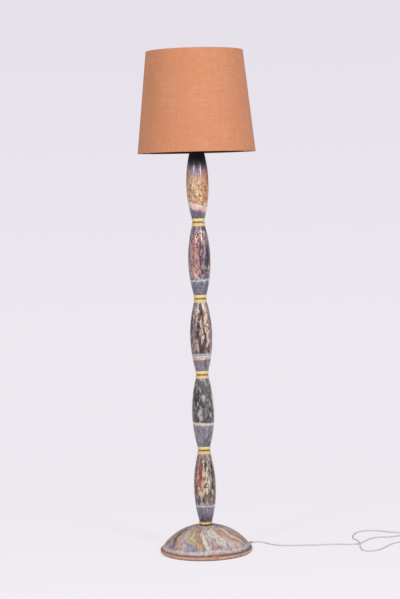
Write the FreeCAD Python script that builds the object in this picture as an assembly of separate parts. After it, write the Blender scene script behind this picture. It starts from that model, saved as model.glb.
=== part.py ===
import FreeCAD, Part
import math
import os

# Candlestick floor lamp.  Millimetres, +Z up.  The origin lies on the floor under the middle of
# the base, the front faces -Y and the mains lead leaves the base at the back on the +X side.

V = FreeCAD.Vector
ORIGIN = V(0, 0, 0)
UP = V(0, 0, 1)

# ---------------------------------------------------------------- driving sizes

# base
base_r = 152.5              # half of a 12-inch turned blank
felt_t = 2.0
felt_inset = 3.5
plinth_h = 12.0
plinth_edge_r = 3.0
plinth_bore_r = 94.0
dome_rim_r = 148.5
dome_h = 75.0
dome_shoulder_r = 109.0     # the dome's curve passes through this radius ...
dome_shoulder_h = 42.0      # ... at this height above the plinth
dome_seat_r = 27.0          # flat seat of the column
recess_r = 91.5
recess_depth = 36.0
ballast_r = 90.0
ballast_t = 18.0
ballast_edge = 2.0

# screws that hold the plinth to the dome
screw_count = 4
screw_circle_r = 124.0
screw_r = 2.0
screw_l = 30.0
screw_head_r = 4.2
screw_head_h = 2.6
screw_first_angle = 75.0

# column of turned spindles
section_count = 5
section_pitch = 251.0
belly_r = 36.5
waist_r = 21.5
collar_h = 26.0
bead_h = 10.5
bead_r = 22.2
bead_edge_r = 20.9
groove_r = 19.6
foot_collar_h = 15.0
foot_cove_h = 3.5
foot_cove_r = 22.6
foot_edge_r = 24.0
foot_bead_r = 25.6
tenon_r = 12.0
socket_depth = 10.0
foot_tenon_r = 14.0
foot_tenon_depth = 22.0

# threaded pipe through the whole lamp, and its nuts
pipe_r = 5.0
pipe_wall = 1.0
pipe_foot_thread = 2.0      # thread left below the foot nut
foot_washer_r = 16.0
foot_washer_t = 2.0
nut_across_flats = 17.0
nut_h = 6.0
cap_disc_r = 20.0
cap_disc_h = 4.0

# lampholder
entry_r = 8.5
entry_h = 8.0
cup_r = 20.0
cup_h = 26.0
cup_floor = 2.5
holder_wall = 2.0
pipe_in_cup = 1.5           # how far the pipe's end stands up inside the cup
skirt_r = 19.5
skirt_h = 32.0
skirt_lap = 4.0
flange_r = 23.0
flange_t = 3.0
flange_rise = 6.0           # flange above the cup's rim
insert_r = 15.4
insert_flange_t = 3.0
insert_h = 19.0
insert_below_rim = 13.0
screw_shell_bore_r = 13.6
screw_shell_t = 0.5
screw_shell_h = 22.0
contact_l = 12.0
contact_w = 5.0
contact_t = 1.0
terminal_l = 6.0
terminal_w = 4.0
terminal_h = 5.0
terminal_offset = 9.5
core_r = 0.8
core_spread = 1.3

# push-through switch bar
bar_r = 2.0
bar_travel = 4.0
bar_button_r = 3.5
bar_button_t = 3.0
bar_rise = 17.0             # above the outer floor of the cup

# bulb
bulb_r = 30.0
bulb_l = 105.0
bulb_wall = 1.0
bulb_neck_r = 14.4
bulb_cap_r = 13.1
bulb_cap_h = 22.0
bulb_tip_h = 3.5
bulb_tip_r = 4.8
bulb_shoulder_rise = 16.0   # a point on the neck's curve, above the cap ...
bulb_neck_flare = 0.3       # ... and its share of the way out to the round part

# shade
shade_h = 329.4
shade_drop = 23.4           # lower edge of the shade below the column's top
shade_top_r = 158.2
shade_bottom_r = 193.0
cover_t = 0.9
lining_t = 0.5
wire_r = 1.75
wire_inset = 3.0            # wire's centre line from the shade's edge
carrier_ring_r = 29.0
carrier_ring_t = 2.0
carrier_ring_play = 1.0
arm_count = 3
arm_r = 2.0
arm_knee_r = 46.0
arm_first_angle = 30.0
ring_r = 25.0
ring_h = 6.0

# mains lead
cord_r = 2.4
cord_exit_angle = 29.0
cord_exit_z = 8.0
grommet_bore_r = 4.2
grommet_l = 14.0
grommet_flange_r = 5.4
grommet_flange_t = 2.5
relief_l = 25.0
relief_root_r = 4.4
relief_tip_r = 3.2
lead_bend_r = 13.0
exit_run = 16.0
entry_run = 18.0

# coil of the length that is put away, its tie and the plug
coil_x = 716.0
coil_y = 240.0
coil_inner_r = 20.0
coil_pitch = 5.4
coil_layer = 5.4
coil_quarters = 21
coil_turn_back = 10         # the quarter turn at which the spiral reverses and climbs
coil_first_angle = -90.0
tie_angle = 200.0
tie_w = 8.0
tie_t = 0.6
plug_l = 32.0
plug_w = 30.0
plug_t = 16.0
plug_edge_r = 5.0
plug_relief_l = 20.0
plug_relief_r = 4.6
plug_turn = -30.0           # the plug's heading against the coil's last tangent
plug_reach = 34.0
pin_r = 2.0
pin_l = 19.0
pin_gap = 18.6
pin_nose_r = 0.8
pin_root = 9.0
pin_root_r = 1.5

# clearances
fit_gap = 0.1               # running and push fits, per side
bore_gap = 0.5              # wooden bores round the pipe
joint_gap = 0.3             # between pieces of different bodies

# ---------------------------------------------------------------- heights worked out from them

plinth_top = felt_t + plinth_h
dome_top = plinth_top + dome_h
recess_top = plinth_top + recess_depth
ballast_bottom = recess_top - ballast_t
washer_bottom = ballast_bottom - foot_washer_t
foot_nut_bottom = washer_bottom - nut_h
pipe_bottom = foot_nut_bottom - pipe_foot_thread
column_top = dome_top + section_count * section_pitch
top_nut_bottom = column_top + cap_disc_h
entry_bottom = top_nut_bottom + nut_h
cup_bottom = entry_bottom + entry_h
cup_rim = cup_bottom + cup_h
pipe_top = cup_bottom + cup_floor + pipe_in_cup
flange_bottom = cup_rim + flange_rise
flange_top = flange_bottom + flange_t
skirt_top = cup_rim + skirt_h
insert_bottom = cup_rim - insert_below_rim
insert_top = insert_bottom + insert_h
bar_z = cup_bottom + bar_rise
bulb_bottom = insert_top + contact_t + joint_gap
bulb_cap_bottom = bulb_bottom + bulb_tip_h
bulb_cap_top = bulb_cap_bottom + bulb_cap_h
bulb_centre = bulb_bottom + bulb_l - bulb_r
shade_bottom = column_top - shade_drop
shade_top = shade_bottom + shade_h
plug_z = plug_t / 2
pipe_bore_r = pipe_r + bore_gap
spindle_bore_r = pipe_bore_r


# ---------------------------------------------------------------- helpers

def point(r, z):
    return V(r, 0, z)


def lathe(start, *steps):
    """Turn a closed outline about Z.  A step is the next (r, z) corner, or a pair of them for an
    arc: the point it passes through and its end.  A straight line closes the outline where the last
    step doesn't."""
    edges = []
    here = point(*start)
    ends_open = steps[-1][-1] != start
    for step in steps + ((start,) if ends_open else ()):
        arc = isinstance(step[0], tuple)
        there = point(*(step[1] if arc else step))
        if arc:
            edges.append(Part.Arc(here, point(*step[0]), there).toShape())
        else:
            edges.append(Part.LineSegment(here, there).toShape())
        here = there
    return Part.Face(Part.Wire(edges)).revolve(ORIGIN, UP, 360)


def rod(r, z0, z1):
    return Part.makeCylinder(r, z1 - z0, V(0, 0, z0))


def pipe(r, bore, z0, z1):
    return rod(r, z0, z1).cut(rod(bore, z0 - 1, z1 + 1))


def cross_rod(r, x0, x1, z):
    return Part.makeCylinder(r, x1 - x0, V(x0, 0, z), V(1, 0, 0))


def box_about(x, y, size_x, size_y, z0, z1):
    return Part.makeBox(size_x, size_y, z1 - z0, V(x - size_x / 2, y - size_y / 2, z0))


def turned_about_z(shape, angle):
    copy = shape.copy()
    copy.rotate(ORIGIN, UP, angle)
    return copy


def hex_nut(z0, bore):
    corner_r = nut_across_flats / 2 / math.cos(math.pi / 6)
    corners = [V(corner_r * math.cos(math.radians(60 * i)), corner_r * math.sin(math.radians(60 * i)), z0)
               for i in range(7)]
    return Part.Face(Part.makePolygon(corners)).extrude(V(0, 0, nut_h)).cut(rod(bore, z0 - 1, z0 + nut_h + 1))


def on_exit_line(shape):
    """Carry a shape turned about Z to the line along which the lead leaves the base."""
    copy = shape.copy()
    copy.rotate(ORIGIN, V(0, 1, 0), 90)
    copy.rotate(ORIGIN, UP, cord_exit_angle)
    copy.translate(V(0, 0, cord_exit_z))
    return copy


def swept(edges, r):
    """A round tube along joined edges."""
    path = Part.Wire(edges)
    first = edges[0]
    start = first.valueAt(first.FirstParameter)
    heading = first.tangentAt(first.FirstParameter)
    section = Part.Wire(Part.Circle(start, heading, r).toShape())
    solid = path.makePipeShell([section], True, False)
    expected = math.pi * r * r * path.Length
    print("  tube length %.1f, volume over section times length %.4f" % (path.Length, solid.Volume / expected))
    return solid


def rounded_path(points, bend=None):
    """Straight runs joined by tangent arcs.  Each arc is as large as 0.45 of its shorter run allows,
    unless a bend radius is given."""
    edges = []
    radii = []
    here = points[0]
    for before, corner, after in zip(points, points[1:], points[2:]):
        inward = (corner - before).normalize()
        outward = (after - corner).normalize()
        half_turn = inward.getAngle(outward) / 2
        shorter = min((corner - before).Length, (after - corner).Length)
        radius = bend or 0.45 * shorter / math.tan(half_turn)
        tangent = radius * math.tan(half_turn)
        arc_start = corner - inward * tangent
        arc_end = corner + outward * tangent
        to_centre = (outward - inward).normalize()
        middle = corner + to_centre * (radius / math.cos(half_turn) - radius)
        edges.append(Part.LineSegment(here, arc_start).toShape())
        edges.append(Part.Arc(arc_start, middle, arc_end).toShape())
        radii.append(radius)
        here = arc_end
    edges.append(Part.LineSegment(here, points[-1]).toShape())
    print("  bend radii " + " ".join("%.0f" % radius for radius in radii))
    return edges


def corner_arc(start, corner, end):
    """The arc that is tangent to both equal legs of a corner."""
    middle = (start + end) / 2
    half = (end - start).Length / 2
    leg = (corner - start).Length
    lift = (corner - middle).Length
    if lift < 1e-6:
        return Part.LineSegment(start, end).toShape()
    rise = half * (leg - half) / lift
    return Part.Arc(start, middle + (corner - middle).normalize() * rise, end).toShape()


def biarc(p0, t0, p1, t1):
    """Two arcs that join two points along two given unit tangents."""
    chord = p1 - p0
    both = t0 + t1
    along = chord.dot(both)
    spread = 2 * (1 - t0.dot(t1))
    if spread < 1e-9:
        leg = chord.Length / 4
    else:
        leg = (math.sqrt(along * along + spread * chord.dot(chord)) - along) / spread
    q0 = p0 + t0 * leg
    q1 = p1 - t1 * leg
    joint = (q0 + q1) / 2
    return [corner_arc(p0, q0, joint), corner_arc(joint, q1, p1)]


# ---------------------------------------------------------------- base

def felt_pad():
    return rod(base_r - felt_inset, 0, felt_t)


def base_plinth():
    body = lathe((plinth_bore_r, felt_t), (base_r - plinth_edge_r, felt_t),
                 ((base_r - plinth_edge_r * 0.293, felt_t + plinth_edge_r * 0.293), (base_r, felt_t + plinth_edge_r)),
                 (base_r, plinth_top - plinth_edge_r),
                 ((base_r - plinth_edge_r * 0.293, plinth_top - plinth_edge_r * 0.293),
                  (base_r - plinth_edge_r, plinth_top)),
                 (plinth_bore_r, plinth_top))
    bore = rod(grommet_bore_r + fit_gap, plinth_bore_r - 5, base_r + 5)
    seat = rod(grommet_flange_r + fit_gap, base_r - grommet_flange_t, base_r + 5)
    body = body.cut(on_exit_line(bore)).cut(on_exit_line(seat))
    for place in screw_places():
        body = body.cut(screw_hole(place, fit_gap))
    return body


def base_dome():
    body = lathe((0, plinth_top), (dome_rim_r, plinth_top),
                 ((dome_shoulder_r, plinth_top + dome_shoulder_h), (dome_seat_r, dome_top)),
                 (0, dome_top))
    body = body.cut(rod(recess_r, plinth_top - 1, recess_top))
    body = body.cut(rod(foot_tenon_r + fit_gap, dome_top - foot_tenon_depth - fit_gap, dome_top + 1))
    body = body.cut(rod(pipe_bore_r, recess_top - 1, dome_top))
    for place in screw_places():
        body = body.cut(screw_hole(place, fit_gap))
    return body


def base_ballast():
    disc = lathe((pipe_bore_r, ballast_bottom), (ballast_r - ballast_edge, ballast_bottom),
                 (ballast_r, ballast_bottom + ballast_edge), (ballast_r, recess_top), (pipe_bore_r, recess_top))
    return disc


def screw_places():
    step = 360.0 / screw_count
    return [screw_first_angle + i * step for i in range(screw_count)]


def screw_hole(angle, gap):
    """One countersunk screw, or with a gap its hole, standing head down in the plinth's lower face."""
    body = lathe((0, felt_t), (screw_head_r + gap, felt_t), (screw_r + gap, felt_t + screw_head_h),
                 (screw_r + gap, felt_t + screw_l + gap), (0, felt_t + screw_l + gap))
    body.translate(V(screw_circle_r, 0, 0))
    return turned_about_z(body, angle)


def plinth_screws():
    return Part.makeCompound([screw_hole(angle, 0) for angle in screw_places()])


def cord_grommet():
    """Bush in the plinth's bore, with a flange outside and a tapered sleeve that guides the lead."""
    seat = base_r - grommet_flange_t
    sleeve = lathe((cord_r + fit_gap, seat - grommet_l), (grommet_bore_r, seat - grommet_l), (grommet_bore_r, seat),
                   (grommet_flange_r, seat), (grommet_flange_r, base_r), (relief_root_r, base_r),
                   (relief_tip_r, base_r + relief_l), (cord_r + fit_gap, base_r + relief_l))
    return on_exit_line(sleeve)


def pipe_foot_washer():
    return pipe(foot_washer_r, pipe_r + fit_gap, washer_bottom, ballast_bottom)


def pipe_foot_nut():
    return hex_nut(foot_nut_bottom, pipe_r + fit_gap / 2)


# ---------------------------------------------------------------- column

def joint_height(k):
    return dome_top + k * section_pitch


def spindle(k):
    """Section k, counted from 0 at the foot: an arched belly, a tenon on top and below it either a
    socket or, on the lowest, the tenon that stands in the dome."""
    lowest = k == 0
    highest = k == section_count - 1
    z0 = joint_height(k) + (foot_collar_h if lowest else collar_h / 2)
    z1 = joint_height(k + 1) - collar_h / 2
    tenon_top = joint_height(k + 1) if highest else joint_height(k + 1) + collar_h / 2 + socket_depth
    belly = (belly_r, (z0 + z1) / 2)
    body = lathe((spindle_bore_r, z0), (waist_r, z0), (belly, (waist_r, z1)), (tenon_r, z1),
                 (tenon_r, tenon_top), (spindle_bore_r, tenon_top))
    if lowest:
        return body.fuse(pipe(foot_tenon_r, spindle_bore_r, dome_top - foot_tenon_depth, z0)).removeSplitter()
    return body.cut(rod(tenon_r + fit_gap, z0 - 1, z0 + socket_depth + fit_gap))


def neck_collar(k):
    """Turned ring over joint k: two beads with a groove between them."""
    z0 = joint_height(k) - collar_h / 2
    z1 = joint_height(k) + collar_h / 2
    low = z0 + bead_h
    high = z1 - bead_h
    bore = tenon_r + fit_gap
    return lathe((bore, z0), (bead_edge_r, z0), ((bead_r, z0 + bead_h / 2), (bead_edge_r, low)), (groove_r, low),
                 (groove_r, high), (bead_edge_r, high), ((bead_r, z1 - bead_h / 2), (bead_edge_r, z1)), (bore, z1))


def foot_collar():
    """Ring under the lowest section: a hollow against the dome with a flat bead above it."""
    z0 = dome_top
    cove = z0 + foot_cove_h
    z1 = z0 + foot_collar_h
    bore = foot_tenon_r + fit_gap
    return lathe((bore, z0), (foot_edge_r, z0), ((foot_cove_r, (z0 + cove) / 2), (foot_edge_r, cove)),
                 ((foot_bead_r, (cove + z1) / 2), (foot_edge_r, z1)), (bore, z1))


def top_collar():
    z0 = column_top - collar_h / 2
    bore = tenon_r + fit_gap
    return lathe((bore, z0), (bead_edge_r, z0), ((bead_r, z0 + bead_h / 2), (bead_edge_r, z0 + bead_h)),
                 (groove_r, z0 + bead_h), (groove_r, column_top), (bore, column_top))


def lamp_pipe():
    return pipe(pipe_r, pipe_r - pipe_wall, pipe_bottom, pipe_top)


def cap_disc():
    """Shallow dished disc that closes the column's top."""
    bore = pipe_r + fit_gap
    crown = column_top + cap_disc_h
    half = (cap_disc_r + nut_across_flats / 2) / 2
    return lathe((bore, column_top), (cap_disc_r, column_top), (cap_disc_r, column_top + cap_disc_h / 4),
                 ((half, column_top + cap_disc_h * 0.82), (nut_across_flats / 2, crown)), (bore, crown))


def pipe_top_nut():
    return hex_nut(top_nut_bottom, pipe_r + fit_gap / 2)


# ---------------------------------------------------------------- lampholder

def holder_cup():
    """Lower half of the lampholder, screwed on the pipe, with the switch bar's two holes."""
    bore = pipe_r + fit_gap / 2
    inner = cup_r - holder_wall
    cup = lathe((bore, entry_bottom), (entry_r, entry_bottom), (entry_r, cup_bottom),
                (cup_r - holder_wall, cup_bottom), (cup_r, cup_bottom + holder_wall), (cup_r, cup_rim),
                (inner, cup_rim), (inner, cup_bottom + cup_floor), (bore, cup_bottom + cup_floor))
    return cup.cut(cross_rod(bar_r + fit_gap, -cup_r - 1, cup_r + 1, bar_z))


def holder_shell():
    """Upper half: a skirt with the flange on which the shade's carrier rests."""
    inner = skirt_r - holder_wall
    lap_r = cup_r - holder_wall - fit_gap
    lap_inner = insert_r + fit_gap
    return lathe((lap_inner, cup_rim - skirt_lap), (lap_r, cup_rim - skirt_lap), (lap_r, cup_rim),
                 (skirt_r, cup_rim), (skirt_r, flange_bottom), (flange_r, flange_bottom), (flange_r, flange_top),
                 (skirt_r, flange_top), (skirt_r, skirt_top), (inner, skirt_top),
                 (inner, insert_top - insert_flange_t), (lap_inner, insert_top - insert_flange_t))


def holder_insert():
    """Ceramic core that carries the contacts, with a cross hole for the switch bar."""
    flange = skirt_r - holder_wall - fit_gap
    body = lathe((0, insert_bottom), (insert_r, insert_bottom), (insert_r, insert_top - insert_flange_t),
                 (flange, insert_top - insert_flange_t), (flange, insert_top), (0, insert_top))
    return body.cut(cross_rod(bar_r + fit_gap, -insert_r - 1, insert_r + 1, bar_z))


def holder_screw_shell():
    return pipe(screw_shell_bore_r + screw_shell_t, screw_shell_bore_r, insert_top, insert_top + screw_shell_h)


def holder_contact():
    return box_about(0, 0, contact_l, contact_w, insert_top, insert_top + contact_t)


def holder_terminals():
    blocks = [box_about(0, side * terminal_offset, terminal_w, terminal_l, insert_bottom - terminal_h, insert_bottom)
              for side in (-1, 1)]
    return Part.makeCompound(blocks)


def lead_cores():
    """The lead's two cores, from its end in the cup to the terminals."""
    cores = []
    for side in (-1, 1):
        start = V(0, side * core_spread, pipe_top)
        end = V(0, side * (terminal_offset - terminal_l / 2), insert_bottom - terminal_h / 2)
        cores.append(Part.makeCylinder(core_r, (end - start).Length, start, end - start))
    trim = rod(cup_r, pipe_top - 5, pipe_top)
    blocks = holder_terminals()
    return Part.makeCompound([core.cut(trim).cut(blocks) for core in cores])


def switch_bar():
    """Round bar through the holder with a button at each end.  Pushed toward +X from rest."""
    out = cup_r + joint_gap
    left = -(out + bar_travel)
    bar = cross_rod(bar_r, left, out, bar_z)
    buttons = cross_rod(bar_button_r, left - bar_button_t, left, bar_z)
    return bar.fuse(buttons).fuse(cross_rod(bar_button_r, out, out + bar_button_t, bar_z)).removeSplitter()


# ---------------------------------------------------------------- bulb

def bulb_envelope():
    """Pear-shaped glass: a flared neck that runs into a round top, open below into the cap."""
    z0 = bulb_cap_top
    drop = bulb_r / 2                            # neck and round part meet this far below the centre

    def meeting(r):
        return math.sqrt(r * r - drop * drop), bulb_centre - drop

    def neck_middle(neck_r, r):
        return neck_r + (meeting(r)[0] - neck_r) * bulb_neck_flare, z0 + bulb_shoulder_rise

    inner_r = bulb_r - bulb_wall
    inner_neck_r = bulb_neck_r - bulb_wall
    return lathe((inner_neck_r, z0), (bulb_neck_r, z0), (neck_middle(bulb_neck_r, bulb_r), meeting(bulb_r)),
                 ((bulb_r, bulb_centre), (0, bulb_centre + bulb_r)), (0, bulb_centre + inner_r),
                 ((inner_r, bulb_centre), meeting(inner_r)), (neck_middle(inner_neck_r, inner_r), (inner_neck_r, z0)))


def bulb_cap():
    return pipe(bulb_cap_r, bulb_cap_r - bulb_wall, bulb_cap_bottom, bulb_cap_top)


def bulb_tip():
    """Insulator that closes the cap, with the centre contact on its nose."""
    seat = bulb_cap_r - bulb_wall - fit_gap
    return lathe((0, bulb_bottom), (bulb_tip_r, bulb_bottom), (bulb_cap_r - 1, bulb_cap_bottom), (seat, bulb_cap_bottom),
                 (seat, bulb_cap_bottom + bulb_tip_h), (0, bulb_cap_bottom + bulb_tip_h))


# ---------------------------------------------------------------- shade

def shade_r_at(z):
    share = (z - shade_bottom) / shade_h
    return shade_bottom_r + (shade_top_r - shade_bottom_r) * share


def shade_skin(out, thickness):
    """Conical skin whose outer face lies a given depth inside the shade's outline."""
    low = shade_bottom_r - out
    high = shade_top_r - out
    return lathe((low - thickness, shade_bottom), (low, shade_bottom), (high, shade_top), (high - thickness, shade_top))


def shade_cover():
    return shade_skin(0, cover_t)


def shade_lining():
    return shade_skin(cover_t, lining_t)


def wire_ring_r(z):
    slant = math.hypot(shade_h, shade_bottom_r - shade_top_r) / shade_h
    return shade_r_at(z) - cover_t - lining_t - (wire_r + fit_gap) * slant


def wire_ring(z):
    return Part.makeTorus(wire_ring_r(z), wire_r, V(0, 0, z), UP)


def shade_top_wire():
    return wire_ring(shade_top - wire_inset)


def shade_bottom_wire():
    return wire_ring(shade_bottom + wire_inset)


def carrier_ring():
    """Flat ring of the shade's carrier, which lies on the lampholder's flange."""
    return pipe(carrier_ring_r, skirt_r + carrier_ring_play, flange_top, flange_top + carrier_ring_t)


def carrier_arms():
    """Bent rods from the carrier's ring down to the shade's lower wire, coped to both."""
    z = flange_top + carrier_ring_t - arm_r
    wire_z = shade_bottom + wire_inset
    points = [V(carrier_ring_r - arm_r, 0, z), V(arm_knee_r, 0, z), V(wire_ring_r(wire_z), 0, wire_z)]
    arm = swept(rounded_path(points, bend=4 * arm_r), arm_r)
    arm = arm.cut(rod(carrier_ring_r, z - 2 * arm_r, flange_top + 2 * arm_r)).cut(shade_bottom_wire())
    arm = max(arm.Solids, key=lambda solid: solid.Volume)
    return Part.makeCompound([turned_about_z(arm, arm_first_angle + i * 360.0 / arm_count) for i in range(arm_count)])


def shade_ring():
    z0 = flange_top + carrier_ring_t + joint_gap
    return pipe(ring_r, skirt_r + fit_gap, z0, z0 + ring_h)


# ---------------------------------------------------------------- mains lead, coil and plug

def on_floor(x, y):
    return V(x, y, cord_r)


def coil_place(k):
    """Centre line of the coil after k quarter turns: a spiral in, one layer up where it turns back,
    and a spiral out."""
    angle = math.radians(coil_first_angle + 90 * k)
    r = coil_inner_r + coil_pitch * abs(k - coil_turn_back) / 4
    low = tie_t + fit_gap + cord_r
    climb = min(max((k - coil_turn_back + 1) / 2, 0), 1)
    return V(coil_x + r * math.cos(angle), coil_y + r * math.sin(angle), low + coil_layer * climb)


def coil_heading(k):
    angle = math.radians(coil_first_angle + 90 * k)
    r = coil_inner_r + coil_pitch * abs(k - coil_turn_back) / 4
    side = (k > coil_turn_back) - (k < coil_turn_back)
    inward = side * coil_pitch / (2 * math.pi * r)
    climb = 2 * coil_layer / (math.pi * r) if side == 0 else 0
    round_x = -math.sin(angle) + inward * math.cos(angle)
    round_y = math.cos(angle) + inward * math.sin(angle)
    return V(round_x, round_y, climb).normalize()


coil_start = coil_place(0) - coil_heading(0) * (2 * cord_r)


def plug_heading():
    last = coil_heading(coil_quarters)
    angle = math.degrees(math.atan2(last.y, last.x)) + plug_turn
    return angle, V(math.cos(math.radians(angle)), math.sin(math.radians(angle)), 0)


def plug_entry():
    """Where the lead meets the plug's sleeve."""
    angle, heading = plug_heading()
    last = coil_place(coil_quarters)
    place = last + coil_heading(coil_quarters) * (plug_reach / 2) + heading * (plug_reach / 2)
    return V(place.x, place.y, plug_z)


def cord_route():
    """The lead on the floor, from the sleeve to the coil: the long stretch to the right, the hairpin
    beyond it, the near loop, the crossing over the first stretch and the far loop."""
    angle = math.radians(cord_exit_angle)
    out = V(math.cos(angle), math.sin(angle), 0)
    start = out * (base_r + relief_l) + V(0, 0, cord_exit_z)
    over = 3.2 * cord_r + 2.8
    return [start, start + out * exit_run,
            V(187, 94.5, 6.2), V(202.5, 86.5, 3.8), on_floor(218, 71), on_floor(242, 52), on_floor(276, 42),
            on_floor(318, 43.5), on_floor(365, 40.5), on_floor(413, 49), on_floor(455, 43), on_floor(490, 36),
            on_floor(513, 46), on_floor(530, 73), on_floor(550, 112), on_floor(577, 141), on_floor(603, 143),
            on_floor(629, 139), on_floor(662, 158), on_floor(690, 170), on_floor(715, 160), on_floor(728, 135),
            on_floor(722, 106), on_floor(700, 86), on_floor(650, 59), on_floor(622, 37), on_floor(599, -7),
            on_floor(580, -40), on_floor(562, -64), on_floor(537, -73), on_floor(515, -60), V(509, -33, 3.2),
            V(510.5, 0, 6.4), V(511, 30, over), V(508, 62, over), V(501, 96, 6.8), V(498, 130, 3.0),
            on_floor(501, 170), on_floor(513, 212), on_floor(533, 243), on_floor(562, 256), on_floor(598, 247),
            on_floor(634, 221), on_floor(664, 207),
            coil_start - coil_heading(0) * entry_run, coil_start]


def mains_cord_run():
    route = cord_route()
    turns = [math.degrees((b - a).getAngle(c - b)) for a, b, c in zip(route, route[1:], route[2:])]
    runs = [(b - a).Length for a, b in zip(route, route[1:])]
    print("  runs " + " ".join("%.0f" % run for run in runs))
    print("  turns " + " ".join("%.0f" % turn for turn in turns))
    return swept(rounded_path(route), cord_r)


def coil_edges():
    edges = [Part.LineSegment(coil_start, coil_place(0)).toShape()]
    for k in range(coil_quarters):
        edges += biarc(coil_place(k), coil_heading(k), coil_place(k + 1), coil_heading(k + 1))
    angle, heading = plug_heading()
    end = plug_entry()
    straight = end - heading * (2 * cord_r)
    edges += biarc(coil_place(coil_quarters), coil_heading(coil_quarters), straight, heading)
    edges.append(Part.LineSegment(straight, end).toShape())
    return edges


def coil_own_gap(edges, step=1.5):
    """Least gap between stretches of the coil, measured between points on its centre line."""
    places = []
    for edge in edges:
        places += edge.discretize(max(3, int(edge.Length / step)))[:-1]
    apart = int(8 * cord_r / step)
    least = min((a - b).Length for i, a in enumerate(places) for b in places[i + apart:])
    return least - 2 * cord_r


def mains_cord_coil():
    edges = coil_edges()
    radii = [edge.Curve.Radius for edge in edges if hasattr(edge.Curve, "Radius")]
    print("  coil: least gap to itself %.2f, tightest bend %.1f" % (coil_own_gap(edges), min(radii)))
    return swept(edges, cord_r)


def cord_tie():
    """Flat strap round all of the coil's turns."""
    angle = tie_angle
    slack = 2 * joint_gap
    outer_turn = coil_inner_r + coil_pitch * max(coil_turn_back, coil_quarters - coil_turn_back) / 4
    r0 = coil_inner_r - cord_r - slack
    r1 = outer_turn + cord_r + slack
    z1 = tie_t + 2 * fit_gap + 2 * cord_r + coil_layer
    outer = Part.makeBox(r1 - r0 + 2 * tie_t, tie_w, z1 + tie_t, V(r0 - tie_t, -tie_w / 2, 0))
    outer = outer.makeFillet(2 * tie_t, [edge for edge in outer.Edges if abs(edge.tangentAt(0).y) > 0.9])
    inner = Part.makeBox(r1 - r0, tie_w + 2, z1 - tie_t, V(r0, -tie_w / 2 - 1, tie_t))
    inner = inner.makeFillet(tie_t, [edge for edge in inner.Edges if abs(edge.tangentAt(0).y) > 0.9])
    strap = turned_about_z(outer.cut(inner), angle)
    strap.translate(V(coil_x, coil_y, 0))
    return strap


def at_plug(shape):
    """Place a shape built along +X from the lead's entry."""
    angle, heading = plug_heading()
    copy = turned_about_z(shape, angle)
    copy.translate(plug_entry())
    return copy


def pin_centres():
    return [V(plug_relief_l + plug_l, side * pin_gap / 2, 0) for side in (-1, 1)]


def plug_body():
    """Moulded two-pin plug: a rounded block with a tapered sleeve for the lead."""
    block = Part.makeBox(plug_l, plug_w, plug_t, V(plug_relief_l, -plug_w / 2, -plug_t / 2))
    long_edges = [edge for edge in block.Edges if abs(edge.tangentAt(0).x) > 0.9]
    block = block.makeFillet(plug_edge_r, long_edges)
    sleeve = Part.makeCone(relief_tip_r, plug_relief_r, plug_relief_l, ORIGIN, V(1, 0, 0))
    body = block.fuse(sleeve)
    for centre in pin_centres():
        root = centre - V(pin_root, 0, 0)
        body = body.cut(Part.makeCylinder(pin_root_r, pin_root + 1, root, V(1, 0, 0)))
    return at_plug(body)


def plug_pins():
    """Round pins with a rounded nose and a thinner root in the plug's body."""
    pins = []
    for centre in pin_centres():
        pin = Part.makeCylinder(pin_r, pin_l, centre, V(1, 0, 0))
        nose = max(pin.Edges, key=lambda edge: edge.CenterOfMass.x)
        root = Part.makeCylinder(pin_root_r, pin_root, centre - V(pin_root, 0, 0), V(1, 0, 0))
        pins.append(pin.makeFillet(pin_nose_r, [nose]).fuse(root))
    return at_plug(Part.makeCompound(pins))


def inner_lead():
    """The lead inside the lamp: through the grommet, across the base and up the pipe."""
    angle = math.radians(cord_exit_angle)
    out = V(math.cos(angle), math.sin(angle), 0)
    level = V(0, 0, cord_exit_z)
    points = [out * (base_r + relief_l) + level, level, V(0, 0, pipe_top)]
    return swept(rounded_path(points, bend=lead_bend_r), cord_r)


# ---------------------------------------------------------------- all sub-parts

def all_parts():
    parts = {
        "felt_pad": felt_pad(),
        "base_plinth": base_plinth(),
        "base_dome": base_dome(),
        "base_ballast": base_ballast(),
        "plinth_screws": plinth_screws(),
        "cord_grommet": cord_grommet(),
        "pipe_foot_washer": pipe_foot_washer(),
        "pipe_foot_nut": pipe_foot_nut(),
        "foot_collar": foot_collar(),
        "top_collar": top_collar(),
        "lamp_pipe": lamp_pipe(),
        "cap_disc": cap_disc(),
        "pipe_top_nut": pipe_top_nut(),
        "holder_cup": holder_cup(),
        "holder_shell": holder_shell(),
        "holder_insert": holder_insert(),
        "holder_screw_shell": holder_screw_shell(),
        "holder_contact": holder_contact(),
        "holder_terminals": holder_terminals(),
        "lead_cores": lead_cores(),
        "inner_lead": inner_lead(),
        "switch_bar": switch_bar(),
        "bulb_envelope": bulb_envelope(),
        "bulb_cap": bulb_cap(),
        "bulb_tip": bulb_tip(),
        "shade_cover": shade_cover(),
        "shade_lining": shade_lining(),
        "shade_top_wire": shade_top_wire(),
        "shade_bottom_wire": shade_bottom_wire(),
        "carrier_ring": carrier_ring(),
        "carrier_arms": carrier_arms(),
        "shade_ring": shade_ring(),
        "mains_cord_run": mains_cord_run(),
        "mains_cord_coil": mains_cord_coil(),
        "cord_tie": cord_tie(),
        "plug_body": plug_body(),
        "plug_pins": plug_pins(),
    }
    for k in range(section_count):
        parts["spindle_%d" % (k + 1)] = spindle(k)
    for k in range(1, section_count):
        parts["neck_collar_%d" % k] = neck_collar(k)
    return parts


os.makedirs("parts", exist_ok=True)
for name, shape in all_parts().items():
    if not shape.isValid():
        print("not valid: " + name)
    shape.exportStep("parts/%s.step" % name)
    print("%-20s solids %d  volume %.0f" % (name, len(shape.Solids), shape.Volume))
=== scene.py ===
import math

import bpy
from mathutils import Matrix, Vector


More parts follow.
